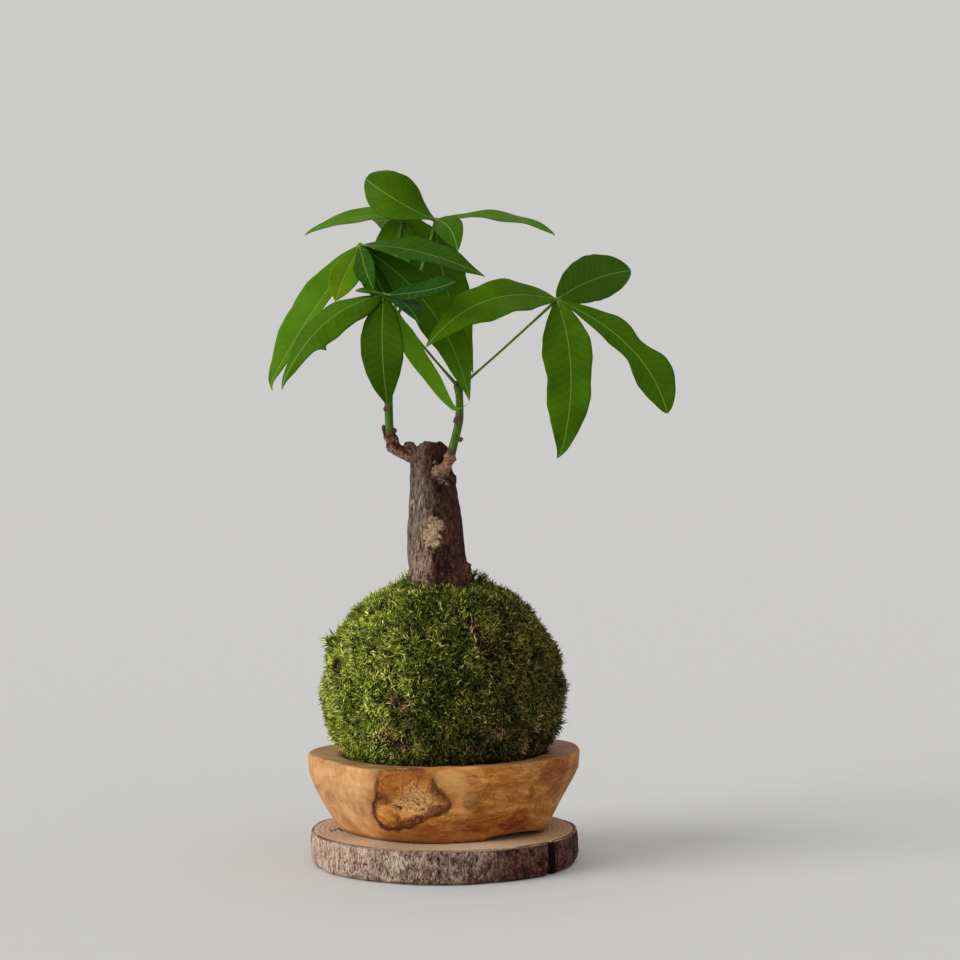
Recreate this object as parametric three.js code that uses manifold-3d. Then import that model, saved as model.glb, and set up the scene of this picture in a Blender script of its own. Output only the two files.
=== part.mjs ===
// A kokedama: a cut-back money tree with two green shoots and five palmate leaves, rooted in a soil ball
// wrapped in moss. The ball sits in a carved root-wood bowl, and the bowl stands on a slice of log.
// Millimetres, +Z up. The origin is the middle of the slice's flat underside. The front faces -Y.

import * as THREE from "three";
import { mergeVertices } from "three/addons/utils/BufferGeometryUtils.js";
import Module from "manifold-3d";

const wasm = await Module();
wasm.setup();

// ---------------------------------------------------------------------------------------------------------
// Driving dimensions
// ---------------------------------------------------------------------------------------------------------

const GAP = 0.3; // clearance between pieces that rest on or in each other

const SLICE_RADIUS = 81;
const SLICE_HEIGHT = 20;
const SLICE_NOTCH = { angle: -37, halfWidth: 3.2, depth: 3.5 }; // split in the bark, degrees and mm

const BOWL_FLOOR = SLICE_HEIGHT + GAP;
const BOWL_RIM = 66; // height of the rim above the table
const BOWL_KNEE = 0.76; // share of the wall's height where the flare ends and the wall turns upright
const BOWL_FOOT_LIFT = { from: 296, to: 342, height: 3.6 }; // the foot's rough edge, degrees and mm
// Outline of the rim and of the foot, as [degrees from +X, radius], anticlockwise from above.
const RIM_OUTLINE = [
  [3, 84], [30, 88], [45, 83], [75, 75], [122, 73], [160, 83], [183, 83], [207, 76], [231, 81],
  [241, 85], [250, 77], [268, 67.5], [292, 71], [311, 76], [325, 77], [345, 80],
];
const FOOT_OUTLINE = [
  [0, 62], [45, 60], [100, 56], [150, 58], [190, 61.5], [223, 59.5], [260, 60.5], [293, 57], [315, 62],
  [335, 65],
];

const BALL_CENTRE = 105.5; // height of the middle of the moss ball
const MOSS = { radius: 74.5, halfHeight: 70.5, relief: 1.7, jitter: 1.1 };
const MOSS_SMOOTH_BELOW = 70; // inside the bowl the moss is pressed smooth
const SOIL = { radius: 62.5, halfHeight: 58.5 };
const HOLE = 21; // radius by which the ball's profiles mark the hole that the stump stands in
const MOSS_LIP = HOLE + 3.5; // where the moss skin turns down into the hole
const BALL_SEGMENTS = 48;
const SKIN_ROWS = 23;
const CORE_ROWS = 8;

const TRUNK_FOOT = 128; // depth in the soil that the stump reaches down to
const TRUNK_STRAIGHT = 173; // the stump is upright below this height, where the moss closes round it
const TRUNK_SEGMENTS = 24;
// The stump's silhouette, as [height, middle in x, radius].
const TRUNK_PROFILE = [
  [TRUNK_FOOT + GAP, -0.8, 20.4], [TRUNK_STRAIGHT, -0.8, 20.4], [177, -2.2, 18.8], [188, -4, 17.6],
  [206, -4.7, 16.8], [225, -5.8, 14.4], [235, -6.6, 13.4], [244, -8, 12], [250, -7.7, 11],
  [254, -7.4, 9.6], [255.4, -7.3, 7],
];

const BLADE_THICKNESS = 0.8;
const STALK_THICKNESS = 1.9; // the blade thickens to this at the leaflet's stalk
const PETIOLE_RADIUS = 1.15;
const HUB_RADIUS = 2.5;
const BLADE_ACROSS = 4;
const BLADE_ALONG = 11;

// ---------------------------------------------------------------------------------------------------------
// Solids and outlines
// ---------------------------------------------------------------------------------------------------------

/** Weld a geometry's shared vertices and drop the triangles that collapse, as those at a pole do. */
function weld(geometry) {
  const bare = new THREE.BufferGeometry();
  bare.setAttribute("position", geometry.getAttribute("position").clone());
  if (geometry.index) {
    bare.setIndex(geometry.index.clone());
  }
  const welded = mergeVertices(bare, 1e-4);
  const corners = welded.index.array;
  const kept = [];
  for (let i = 0; i < corners.length; i += 3) {
    const [a, b, c] = [corners[i], corners[i + 1], corners[i + 2]];
    if (a !== b && b !== c && c !== a) {
      kept.push(a, b, c);
    }
  }
  welded.setIndex(kept);
  return welded;
}

/** Move each vertex of a welded geometry to where place() puts it. */
function reshape(geometry, place) {
  const position = geometry.getAttribute("position");
  const vertex = new THREE.Vector3();
  for (let i = 0; i < position.count; i += 1) {
    vertex.fromBufferAttribute(position, i);
    place(vertex, i);
    position.setXYZ(i, vertex.x, vertex.y, vertex.z);
  }
  return geometry;
}

function toManifold(geometry) {
  const welded = weld(geometry);
  return new wasm.Manifold(
    new wasm.Mesh({
      numProp: 3,
      vertProperties: new Float32Array(welded.getAttribute("position").array),
      triVerts: new Uint32Array(welded.index.array),
    }),
  );
}

function fromManifold(solid) {
  const mesh = solid.getMesh();
  const geometry = new THREE.BufferGeometry();
  geometry.setAttribute("position", new THREE.BufferAttribute(mesh.vertProperties, 3));
  geometry.setIndex(new THREE.BufferAttribute(mesh.triVerts, 1));
  geometry.computeVertexNormals();
  return geometry;
}

const union = (geometries) => geometries.map(toManifold).reduce((all, next) => all.add(next));

/** A solid of revolution about Z from a profile of [radius, height] that starts and ends on the axis. */
function lathe(profile, segments) {
  const points = profile.map(([radius, height]) => new THREE.Vector2(radius, height));
  return weld(new THREE.LatheGeometry(points, segments).rotateX(Math.PI / 2));
}

/** A round bar of constant radius along a smooth curve through the points. */
function bar(points, radius, sides, steps) {
  const section = new THREE.Shape();
  for (let i = 0; i < sides; i += 1) {
    const angle = (2 * Math.PI * i) / sides;
    const corner = [radius * Math.cos(angle), radius * Math.sin(angle)];
    if (i === 0) {
      section.moveTo(...corner);
    } else {
      section.lineTo(...corner);
    }
  }
  section.closePath();
  const extrudePath = new THREE.CatmullRomCurve3(points.map((point) => new THREE.Vector3(...point)));
  return new THREE.ExtrudeGeometry(section, { extrudePath, steps, bevelEnabled: false });
}

/** A knob, such as a bud, a node or a leaf's hub. */
function knob(point, radius, detail = 1) {
  return new THREE.IcosahedronGeometry(radius, detail).translate(...point);
}

/** Value at a key in a list of [key, value, ...], straight between its entries. */
function between(list, key, column = 1) {
  if (key <= list[0][0]) {
    return list[0][column];
  }
  for (let i = 1; i < list.length; i += 1) {
    const [low, high] = [list[i - 1], list[i]];
    if (key <= high[0]) {
      const share = (key - low[0]) / (high[0] - low[0]);
      return THREE.MathUtils.lerp(low[column], high[column], share);
    }
  }
  return list[list.length - 1][column];
}

/** Radius of a closed outline at an angle in degrees, smooth through its [degrees, radius] entries. */
function outlineRadius(outline, degrees) {
  const count = outline.length;
  const turn = THREE.MathUtils.euclideanModulo(degrees - outline[0][0], 360) + outline[0][0];
  let start = count - 1;
  while (start > 0 && outline[start][0] > turn) {
    start -= 1;
  }
  const at = (i) => outline[THREE.MathUtils.euclideanModulo(i, count)];
  const end = at(start + 1);
  const span = THREE.MathUtils.euclideanModulo(end[0] - at(start)[0], 360);
  const t = (turn - at(start)[0]) / span;
  const [r0, r1, r2, r3] = [at(start - 1)[1], at(start)[1], end[1], at(start + 2)[1]];
  const slope1 = (r2 - r0) / 2;
  const slope2 = (r3 - r1) / 2;
  return (
    (2 * t ** 3 - 3 * t ** 2 + 1) * r1 + (t ** 3 - 2 * t ** 2 + t) * slope1 +
    (3 * t ** 2 - 2 * t ** 3) * r2 + (t ** 3 - t ** 2) * slope2
  );
}

/** Angle from +X towards +Y, from 0 to 360 degrees. */
function degreesAround(x, y) {
  return THREE.MathUtils.euclideanModulo(THREE.MathUtils.radToDeg(Math.atan2(y, x)), 360);
}

// ---------------------------------------------------------------------------------------------------------
// Wood slice and bowl
// ---------------------------------------------------------------------------------------------------------

/** Log slice with its bark on: a slightly uneven disc with a split in the bark at the right front. */
function woodSlice() {
  const edge = SLICE_RADIUS;
  const profile = [
    [0, 0], [edge - 2.5, 0], [edge - 0.4, 2.2], [edge + 0.3, 7], [edge + 0.2, 13],
    [edge, SLICE_HEIGHT - 1.2], [edge - 1, SLICE_HEIGHT], [0, SLICE_HEIGHT],
  ];
  return reshape(lathe(profile, 80), (v) => {
    const radius = Math.hypot(v.x, v.y);
    if (radius < 1) {
      return;
    }
    const angle = Math.atan2(v.y, v.x);
    const swell = 0.7 * Math.sin(3 * angle + 0.8) + 0.5 * Math.sin(7 * angle);
    const uneven = swell + 0.35 * Math.sin(17 * angle + v.z / 5);
    const off = THREE.MathUtils.degToRad(SLICE_NOTCH.angle) - angle;
    const across = Math.abs(off) * SLICE_RADIUS;
    const notch = across < SLICE_NOTCH.halfWidth ? SLICE_NOTCH.depth : 0;
    const scale = (radius + uneven - notch) / radius;
    v.x *= scale;
    v.y *= scale;
  });
}

/** Height of the foot's edge above the slice: rough and lifted at the right front. */
function footLift(degrees) {
  const { from, to, height } = BOWL_FOOT_LIFT;
  const share = (degrees - from) / (to - from);
  return share > 0 && share < 1 ? height * Math.sin(Math.PI * share) ** 0.6 : 0;
}

/** Radius of the bowl's outside at a share of its wall's height: it flares, then turns upright. */
function bowlRadius(degrees, share) {
  const foot = outlineRadius(FOOT_OUTLINE, degrees);
  const rim = outlineRadius(RIM_OUTLINE, degrees);
  const flare = 0.87 + 0.13 * Math.cos(THREE.MathUtils.degToRad(degrees));
  return foot + (rim - foot) * Math.min(1, share / BOWL_KNEE) ** flare;
}

/** Height of the rim: lowest at the left front corner, highest at the front and right. */
function rimHeight(degrees) {
  return BOWL_RIM - 1.2 * Math.cos(THREE.MathUtils.degToRad(degrees - 205));
}

/** Carved bowl with an uneven outline and a round hollow that the moss ball fills. */
function bowl() {
  const shares = [0, 0.08, 0.25, 0.45, 0.63, 0.78, 0.94, 1];
  const wall = shares.map((share) => [1, BOWL_FLOOR + share * (BOWL_RIM - BOWL_FLOOR)]);
  const outside = lathe([[0, BOWL_FLOOR], ...wall, [0, BOWL_RIM]], 52);
  reshape(outside, (v) => {
    const reach = Math.hypot(v.x, v.y);
    if (reach < 0.5) {
      return;
    }
    const degrees = degreesAround(v.x, v.y);
    const share = THREE.MathUtils.clamp((v.z - BOWL_FLOOR) / (BOWL_RIM - BOWL_FLOOR), 0, 1);
    const worn = share < 0.001 ? 2.2 : share > 0.999 ? 1.3 : 0;
    const radius = bowlRadius(degrees, share) - worn;
    v.x *= radius / reach;
    v.y *= radius / reach;
    const low = BOWL_FLOOR + footLift(degrees);
    v.z = low + share * (rimHeight(degrees) - low);
  });
  const skin = openProfile(MOSS.radius + GAP, MOSS.halfHeight + GAP, MOSS_LIP, SKIN_ROWS);
  const hollow = lathe([...skin, [0, skin[SKIN_ROWS][1]]], BALL_SEGMENTS);
  return fromManifold(toManifold(outside).subtract(toManifold(hollow)));
}

// ---------------------------------------------------------------------------------------------------------
// Moss ball, soil and stump
// ---------------------------------------------------------------------------------------------------------

/** Rows of an ellipsoid round the ball's middle, from its bottom pole up to the rim of a hole in its top. */
function openProfile(radius, halfHeight, hole, rows) {
  const last = Math.acos(hole / radius);
  const profile = [];
  for (let row = 0; row <= rows; row += 1) {
    const angle = -Math.PI / 2 + ((last + Math.PI / 2) * row) / rows;
    profile.push([row === 0 ? 0 : radius * Math.cos(angle), BALL_CENTRE + halfHeight * Math.sin(angle)]);
  }
  return profile;
}

/** Radius of the stump round its own middle, with the lobes that its bark follows. */
function stumpRadius(height, angle) {
  const level = Math.max(height, TRUNK_STRAIGHT);
  const lobes = 0.6 * Math.sin(3 * angle + 0.4 + level / 40) + 0.45 * Math.sin(5 * angle - level / 30);
  return between(TRUNK_PROFILE, height, 2) + lobes;
}

/** Put a vertex of a stump or of the hole round it at its place, grown outwards by a clearance. */
function placeOnStump(v, clearance) {
  const angle = Math.atan2(v.y, v.x);
  const radius = stumpRadius(v.z, angle) + clearance;
  const middle = between(TRUNK_PROFILE, v.z, 1);
  v.x = middle + radius * Math.cos(angle);
  v.y = radius * Math.sin(angle);
}

/** The moss skin: lumpy outside, hollow for the soil, open at the top round the stump. */
function mossBall() {
  const outer = openProfile(MOSS.radius, MOSS.halfHeight, MOSS_LIP, SKIN_ROWS);
  const inner = openProfile(SOIL.radius + GAP, SOIL.halfHeight + GAP, HOLE, CORE_ROWS);
  const lip = [HOLE, outer[SKIN_ROWS][1] - 0.3];
  const shell = lathe([...outer, lip, ...inner.reverse()], BALL_SEGMENTS);
  return reshape(shell, (v, index) => {
    const reach = Math.hypot(v.x, v.y);
    if (Math.abs(reach - HOLE) < 0.01 && v.z > BALL_CENTRE) {
      placeOnStump(v, GAP);
      return;
    }
    const up = v.z - BALL_CENTRE;
    const isSkin = Math.hypot(reach / MOSS.radius, up / MOSS.halfHeight) > 0.99;
    if (!isSkin || v.z < MOSS_SMOOTH_BELOW) {
      return;
    }
    const around = Math.atan2(v.y, v.x);
    const lumps =
      0.5 * Math.sin(9 * around + v.z / 9) + 0.5 * Math.sin(5 * around - v.z / 6 + 1.7) * Math.cos(v.z / 11);
    const tuft = THREE.MathUtils.seededRandom(index + 1) - 0.5;
    const fade = THREE.MathUtils.smoothstep(v.z, MOSS_SMOOTH_BELOW, MOSS_SMOOTH_BELOW + 12);
    const scale = 1 + (fade * (MOSS.relief * lumps + MOSS.jitter * tuft)) / Math.hypot(reach, up);
    v.x *= scale;
    v.y *= scale;
    v.z = BALL_CENTRE + up * scale;
  });
}

/** The soil inside the moss, with a plain round hole for the stump's foot. */
function soilCore() {
  const skin = openProfile(SOIL.radius, SOIL.halfHeight, HOLE, CORE_ROWS);
  const core = lathe([...skin, [HOLE, TRUNK_FOOT], [0, TRUNK_FOOT]], BALL_SEGMENTS);
  return reshape(core, (v) => {
    const reach = Math.hypot(v.x, v.y);
    if (Math.abs(reach - HOLE) < 0.01 && v.z > BALL_CENTRE) {
      placeOnStump(v, GAP);
    }
  });
}

/** The brown stump, with the twig that holds each shoot, the cut stubs beside them and a root flare. */
function trunk() {
  const rows = TRUNK_PROFILE.flatMap(([height], i) => {
    const above = TRUNK_PROFILE[i + 1];
    const isLong = above && above[0] - height > 14 && height >= TRUNK_STRAIGHT;
    return isLong ? [height, (height + above[0]) / 2] : [height];
  });
  const top = rows[rows.length - 1];
  const profile = [[0, rows[0]], ...rows.map((height) => [HOLE, height]), [0, top + 0.4]];
  const stump = reshape(lathe(profile, TRUNK_SEGMENTS), (v) => {
    if (Math.hypot(v.x, v.y) > 1) {
      placeOnStump(v, 0);
    } else {
      v.x = between(TRUNK_PROFILE, v.z, 1);
      v.y = 0;
    }
  });
  const leftTwig = bar([[-9, 0, 245], [-21, -2, 248], [-29.4, -4, 252.4], [-31.6, -4.4, 260]], 3.9, 8, 7);
  const rightTwig = bar([[-4, -7, 236], [-1, -13, 237], [2.4, -17, 242], [4.9, -19, 249]], 3.5, 8, 7);
  return fromManifold(
    union([
      stump,
      leftTwig,
      rightTwig,
      bar([[-30, -3, 252], [-35.2, -0.5, 259.5], [-37, 0.5, 267]], 1.5, 6, 3),
      knob([-20.6, -2.4, 252], 4.2),
      knob([-2, -15, 237], 5),
      knob([3, -11, 233], 5.2),
      knob([16, -4, 180], 5.2),
    ]),
  );
}

// ---------------------------------------------------------------------------------------------------------
// Shoots
// ---------------------------------------------------------------------------------------------------------

const SHOOTS = {
  left: {
    radius: 2.6,
    crown: 3.9,
    path: [[-31, -4.4, 256.8], [-33, -4.2, 266], [-33.4, -3.6, 290], [-31.6, -2, 312], [-29.7, 0, 332]],
    knobs: [[-34.6, -4.6, 276], [-31.4, -2.6, 305]],
  },
  right: {
    radius: 2.6,
    crown: 3.2,
    path: [[4, -18.3, 246.6], [6.3, -19.8, 254], [9.6, -21.6, 268], [10, -22, 280], [9.4, -22, 288.5]],
    knobs: [[9, -21.6, 268.6], [11, -20.6, 257]],
  },
};

function shootSolid({ path, radius, crown, knobs }, grown = 0) {
  const stem = bar(path, radius + grown, 8, 9);
  const top = knob(path[path.length - 1], crown + grown);
  const nodes = knobs.map((point) => knob(point, radius * 0.85 + grown));
  return union([stem, top, ...nodes]);
}

/** A green shoot, cut clear of the end of the brown twig that it grows from. */
function shoot(side) {
  const twig = toManifold(trunkGeometry).translate([0, 0, GAP]);
  return fromManifold(shootSolid(SHOOTS[side]).subtract(twig));
}

// ---------------------------------------------------------------------------------------------------------
// Leaves
// ---------------------------------------------------------------------------------------------------------

// Each leaf: its hub, the points its stalk passes from the shoot, and its leaflets. A leaflet bends from the
// hub through mid to tip. face is the way its upper side looks, and turn that at its tip where it twists.
// fold lifts both halves, in degrees, or drops them where it is negative. wave is the depth of its wavy margin
// and phase where the waves start. belly over 1 puts its widest part nearer the tip, blunt under 1 rounds its
// ends, and waist is how far its middle is drawn in.
const LEAVES = [
  {
    name: "leaf_a",
    shoot: "right",
    hub: [68, -35, 340],
    stalk: [[9.4, -22, 286.5], [37, -28, 312]],
    leaflets: [
      {
        mid: [26, -64, 337], tip: [-9, -78, 309], width: 26, face: [0.1, -0.8, 0.6],
        fold: 9, wave: 1.5, phase: 0.3, belly: 0.85,
      },
      {
        mid: [90, -10, 353], tip: [116, 20, 363], width: 30, face: [0.6, -0.75, 0.3],
        fold: 6, wave: 0.8, phase: 1, belly: 0.9, blunt: 0.7,
      },
      {
        mid: [75.5, -58, 294], tip: [69, -52, 245], width: 31, face: [0.05, -1, 0.15],
        fold: 7, wave: 1.8, phase: 2.1, belly: 0.88, blunt: 0.8, waist: 0.08,
      },
      {
        mid: [108, -44, 309.5], tip: [133, -44, 272], width: 27, face: [-0.4, -0.5, 0.75],
        turn: [0.1, -1, 0.1], fold: 13, wave: 1.2, phase: 0.7, belly: 1.2, blunt: 0.62, waist: 0.5,
      },
    ],
  },
  {
    name: "leaf_b",
    shoot: "right",
    hub: [-34, -55, 341],
    stalk: [[9.4, -22, 287.6], [-12, -37, 313]],
    leaflets: [
      {
        mid: [-67, -80, 322.5], tip: [-92, -84, 287], width: 25, face: [-0.1, -0.68, 0.7],
        fold: -17, wave: 0.9, phase: 1.4, belly: 0.95,
      },
      {
        mid: [-34, -76, 309], tip: [-32, -54, 277], width: 25, face: [0, -0.9, 0.35],
        fold: 8, wave: 0.9, phase: 0, belly: 0.92,
      },
      {
        mid: [-15.5, -54, 307], tip: [13, -38, 273], width: 16, face: [0.6, -0.65, 0.35],
        fold: 12, wave: 0.6, phase: 2,
      },
      {
        mid: [-22, -78, 336], tip: [-13, -98, 324], width: 17, face: [0.4, -0.5, 0.75],
        fold: 10, wave: 0.6, phase: 1,
      },
      {
        mid: [-9, -80, 342], tip: [8, -96, 345], width: 19, face: [0.1, -0.65, 0.75],
        fold: 12, wave: 0.7, phase: 0.5,
      },
    ],
  },
  {
    name: "leaf_c",
    shoot: "left",
    hub: [-50, -20, 374],
    stalk: [[-31, -1, 331.5], [-39, -5, 352]],
    leaflets: [
      {
        mid: [-78, -28, 329], tip: [-101, -36, 287], width: 27, face: [-0.4, -0.85, 0.3],
        fold: 9, wave: 1.3, phase: 0, belly: 0.85,
      },
      {
        mid: [-58, -39, 354], tip: [-63, -47, 338], width: 18, face: [0.1, -0.85, 0.4],
        fold: 8, wave: 0.7, phase: 1.2,
      },
      {
        mid: [-46, -38, 359], tip: [-40, -42, 344], width: 14, face: [-0.5, -0.75, 0.4],
        fold: 12, wave: 0.5, phase: 2,
      },
      {
        mid: [-40, -24, 354], tip: [-31, -18, 338], width: 20, face: [0.1, -0.9, 0.4],
        fold: 8, wave: 0.6, phase: 0.9,
      },
      {
        mid: [-6.5, -33, 333.5], tip: [16, -34, 280], width: 27, face: [0.3, -0.9, 0.3],
        fold: 9, wave: 1.4, phase: 2.6,
      },
      {
        mid: [-13, -48, 367], tip: [25, -56, 352], width: 26, face: [0.1, -0.6, 0.8],
        fold: 13, wave: 0.9, phase: 1.6,
      },
    ],
  },
  {
    name: "leaf_d",
    shoot: "left",
    hub: [-5, 10, 393],
    stalk: [[-28.5, 0.5, 332], [-14, 4, 362]],
    leaflets: [
      {
        mid: [-27, 6, 403.5], tip: [-48.5, 14, 419], width: 28, face: [-0.1, -0.5, 0.85],
        turn: [-0.4, -0.9, -0.25], fold: 13, wave: 0.7, phase: 0.4, belly: 1.05, blunt: 0.65,
      },
      {
        mid: [-46, 26, 396.5], tip: [-88, 30, 386], width: 23, face: [-0.1, -0.45, 0.9],
        fold: 10, wave: 0.9, phase: 1,
      },
      {
        mid: [35, 6, 394], tip: [69, 0, 382], width: 22, face: [0.1, -0.38, 0.92],
        fold: 9, wave: 0.8, phase: 2,
      },
      {
        mid: [4, -13, 385], tip: [9, -34, 369], width: 17, face: [-0.35, -0.6, 0.7],
        fold: 14, wave: 0.5, phase: 1,
      },
      {
        mid: [1, 18, 354], tip: [18, 10, 299], width: 29, face: [0.3, -0.95, 0.2],
        fold: 7, wave: 1.3, phase: 1.9,
      },
    ],
  },
  {
    name: "leaf_e",
    shoot: "left",
    hub: [-26, 27, 398],
    stalk: [[-30, 2, 332], [-30, 17, 364]],
    leaflets: [
      {
        mid: [-32, 33, 373], tip: [-29, 29, 344], width: 22, face: [-0.1, -0.9, 0.4],
        fold: 9, wave: 0.8, phase: 0.2, belly: 0.9,
      },
      {
        mid: [-8, 45, 362], tip: [11, 42, 317], width: 27, face: [0.2, -0.9, 0.35],
        fold: 8, wave: 1.2, phase: 1.1, belly: 0.9,
      },
      {
        mid: [-37, 60, 399], tip: [-44, 95, 389], width: 21, face: [-0.1, 0.3, 1],
        fold: 10, wave: 0.9, phase: 2.2,
      },
      {
        mid: [-20, 66, 407.5], tip: [-18, 104, 397], width: 23, face: [0.05, 0.3, 1],
        fold: 9, wave: 0.9, phase: 0.6,
      },
      {
        mid: [-14, 58, 388], tip: [-2, 88, 366], width: 22, face: [0.3, 0.4, 0.9],
        fold: 11, wave: 0.8, phase: 1.5,
      },
    ],
  },
];

/** Half the width of a leaflet at a share of its length: a narrow stalk, a broad blade, a drawn-out tip. */
function halfWidth(share, { width, belly = 1, blunt = 0.92, waist = 0 }) {
  const outline = Math.sin(Math.PI * share ** belly) ** blunt * (1 - 0.15 * share ** 6);
  const pinch = 1 - waist * Math.exp(-(((share - 0.52) / 0.13) ** 2));
  return Math.max(0.9, (width / 2) * outline * pinch);
}

/** A leaflet: a thin folded and waved blade, its two faces split into triangles alike. */
function leaflet(hub, shape) {
  const { mid, tip, face, turn, fold, wave, phase } = shape;
  const [start, middle, end] = [hub, mid, tip].map((point) => new THREE.Vector3(...point));
  const pull = middle.clone().multiplyScalar(2).addScaledVector(start, -0.5).addScaledVector(end, -0.5);
  const midrib = new THREE.QuadraticBezierCurve3(start, pull, end);
  const length = midrib.getLength();
  const grid = new THREE.PlaneGeometry(2, 1, BLADE_ACROSS, BLADE_ALONG);
  const flat = grid.getAttribute("position");
  const count = flat.count;
  const corners = new Float32Array(count * 6);
  for (let i = 0; i < count; i += 1) {
    const across = flat.getX(i);
    const share = 0.5 - flat.getY(i);
    const tangent = midrib.getTangent(share);
    const upper = new THREE.Vector3(...face).lerp(new THREE.Vector3(...(turn ?? face)), share);
    const side = new THREE.Vector3().crossVectors(tangent, upper).normalize();
    const normal = new THREE.Vector3().crossVectors(side, tangent).normalize();
    const half = halfWidth(share, shape);
    const lift = THREE.MathUtils.degToRad(fold) * (1 - 0.5 * share);
    const ripple = wave * Math.sin(share * length * 0.19 + phase + (across > 0 ? 1.3 : 0)) * across ** 2;
    const isBlade = THREE.MathUtils.smoothstep(share, 0.08, 0.3) * (1 - share ** 8);
    const height = Math.abs(across) * half * Math.sin(lift) + ripple * isBlade;
    const spot = midrib
      .getPoint(share)
      .addScaledVector(side, across * half * Math.cos(lift))
      .addScaledVector(normal, height);
    const thick = BLADE_THICKNESS + (STALK_THICKNESS - BLADE_THICKNESS) * Math.exp((-share * length) / 5);
    spot.clone().addScaledVector(normal, -thick / 2).toArray(corners, i * 3);
    spot.clone().addScaledVector(normal, thick / 2).toArray(corners, (count + i) * 3);
  }
  const faces = [...grid.index.array];
  for (let i = 0; i < grid.index.count; i += 3) {
    const [a, b, c] = [grid.index.array[i], grid.index.array[i + 1], grid.index.array[i + 2]];
    faces.push(count + a, count + c, count + b);
  }
  const rim = bladeRim();
  rim.forEach((here, i) => {
    const next = rim[(i + 1) % rim.length];
    faces.push(here, count + here, next, next, count + here, count + next);
  });
  const blade = new THREE.BufferGeometry();
  blade.setAttribute("position", new THREE.BufferAttribute(corners, 3));
  blade.setIndex(faces);
  return blade;
}

/** Vertices along the edge of a blade's grid, in the order that turns its side walls outwards. */
function bladeRim() {
  const row = BLADE_ACROSS + 1;
  const rim = [];
  for (let i = 0; i < BLADE_ALONG; i += 1) {
    rim.push(i * row);
  }
  for (let i = 0; i < BLADE_ACROSS; i += 1) {
    rim.push(BLADE_ALONG * row + i);
  }
  for (let i = BLADE_ALONG; i > 0; i -= 1) {
    rim.push(i * row + BLADE_ACROSS);
  }
  for (let i = BLADE_ACROSS; i > 0; i -= 1) {
    rim.push(i);
  }
  return rim;
}

/** One palmate leaf: its stalk, hub and leaflets joined, cut clear of the shoot that it grows from. */
function leaf({ shoot: side, hub, stalk, leaflets }) {
  const parts = [
    bar([...stalk, hub], PETIOLE_RADIUS, 7, 9),
    knob(hub, HUB_RADIUS),
    ...leaflets.map((one) => leaflet(hub, one)),
  ];
  return fromManifold(union(parts).subtract(shootSolid(SHOOTS[side], GAP)));
}

// ---------------------------------------------------------------------------------------------------------
// Assembly
// ---------------------------------------------------------------------------------------------------------

const PAINT = {
  bark: { color: 0x7d6a5b, roughness: 0.9, metalness: 0 },
  teak: { color: 0xc08a4e, roughness: 0.5, metalness: 0 },
  moss: { color: 0x4f6b22, roughness: 0.95, metalness: 0 },
  soil: { color: 0x3a2a1e, roughness: 1, metalness: 0 },
  stump: { color: 0x64514a, roughness: 0.85, metalness: 0 },
  shoot: { color: 0x5a8a34, roughness: 0.5, metalness: 0 },
  leaf: { color: 0x3f7d14, roughness: 0.35, metalness: 0 },
};

function named(name, geometry, paint) {
  const mesh = new THREE.Mesh(geometry, new THREE.MeshStandardMaterial(paint));
  mesh.name = name;
  return mesh;
}

const trunkGeometry = trunk();

const kokedama = new THREE.Group();
kokedama.add(
  named("wood_slice", woodSlice(), PAINT.bark),
  named("bowl", bowl(), PAINT.teak),
  named("moss_ball", mossBall(), PAINT.moss),
  named("soil_core", soilCore(), PAINT.soil),
  named("trunk", trunkGeometry, PAINT.stump),
  named("shoot_left", shoot("left"), PAINT.shoot),
  named("shoot_right", shoot("right"), PAINT.shoot),
);
for (const entry of LEAVES) {
  kokedama.add(named(entry.name, leaf(entry), PAINT.leaf));
}

export default kokedama;
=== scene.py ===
"""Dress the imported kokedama: moss strands, veined leaves, bark, carved root wood and the log slice.

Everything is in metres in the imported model's frame: +Z up, the front faces -Y, and the origin is on the table
under the middle of the slice. Lengths in the tables below are millimetres, as in the part's own source.
"""

import logging
import math
import random
from collections.abc import Callable, Sequence
from dataclasses import dataclass
from enum import Enum

import bmesh
import bpy
import numpy as np
from mathutils import Matrix, Vector, noise


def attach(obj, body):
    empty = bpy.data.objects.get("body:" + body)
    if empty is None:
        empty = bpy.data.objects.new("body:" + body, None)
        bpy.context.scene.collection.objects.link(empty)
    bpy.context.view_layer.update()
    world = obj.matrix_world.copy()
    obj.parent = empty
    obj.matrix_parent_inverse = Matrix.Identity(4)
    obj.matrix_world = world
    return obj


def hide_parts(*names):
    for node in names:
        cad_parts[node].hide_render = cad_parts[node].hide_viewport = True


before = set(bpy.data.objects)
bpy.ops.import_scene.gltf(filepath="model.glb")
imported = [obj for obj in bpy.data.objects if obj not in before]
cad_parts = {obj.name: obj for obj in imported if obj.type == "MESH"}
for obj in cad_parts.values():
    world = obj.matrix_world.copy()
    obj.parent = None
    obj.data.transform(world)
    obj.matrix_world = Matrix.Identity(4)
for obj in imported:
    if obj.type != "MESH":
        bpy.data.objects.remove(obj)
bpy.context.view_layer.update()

log = logging.getLogger("kokedama")

MM = 0.001
FULL_TURN = 2 * math.pi
BLADE_MAP = 100  # millimetres of a leaf's blade to one unit of its map
# Paired veins of a leaflet, in millimetres: step along the midrib, slant and bend outwards from it.
VEIN_STEP = 5.6
VEIN_SLANT = 0.95
VEIN_BEND = 0.022

Colour = tuple[float, float, float]
Triple = tuple[float, float, float]


class Slot(Enum):
    """The record's material slots of the pieces that are made here."""

    SLICE = "slice_wood"
    BOWL = "bowl_wood"
    MOSS = "moss"
    BARK = "stump_bark"
    STEM = "green_stem"
    FOLIAGE = "foliage"


# ----------------------------------------------------------------------------------------------------------
# Shader recipes
# ----------------------------------------------------------------------------------------------------------


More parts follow.
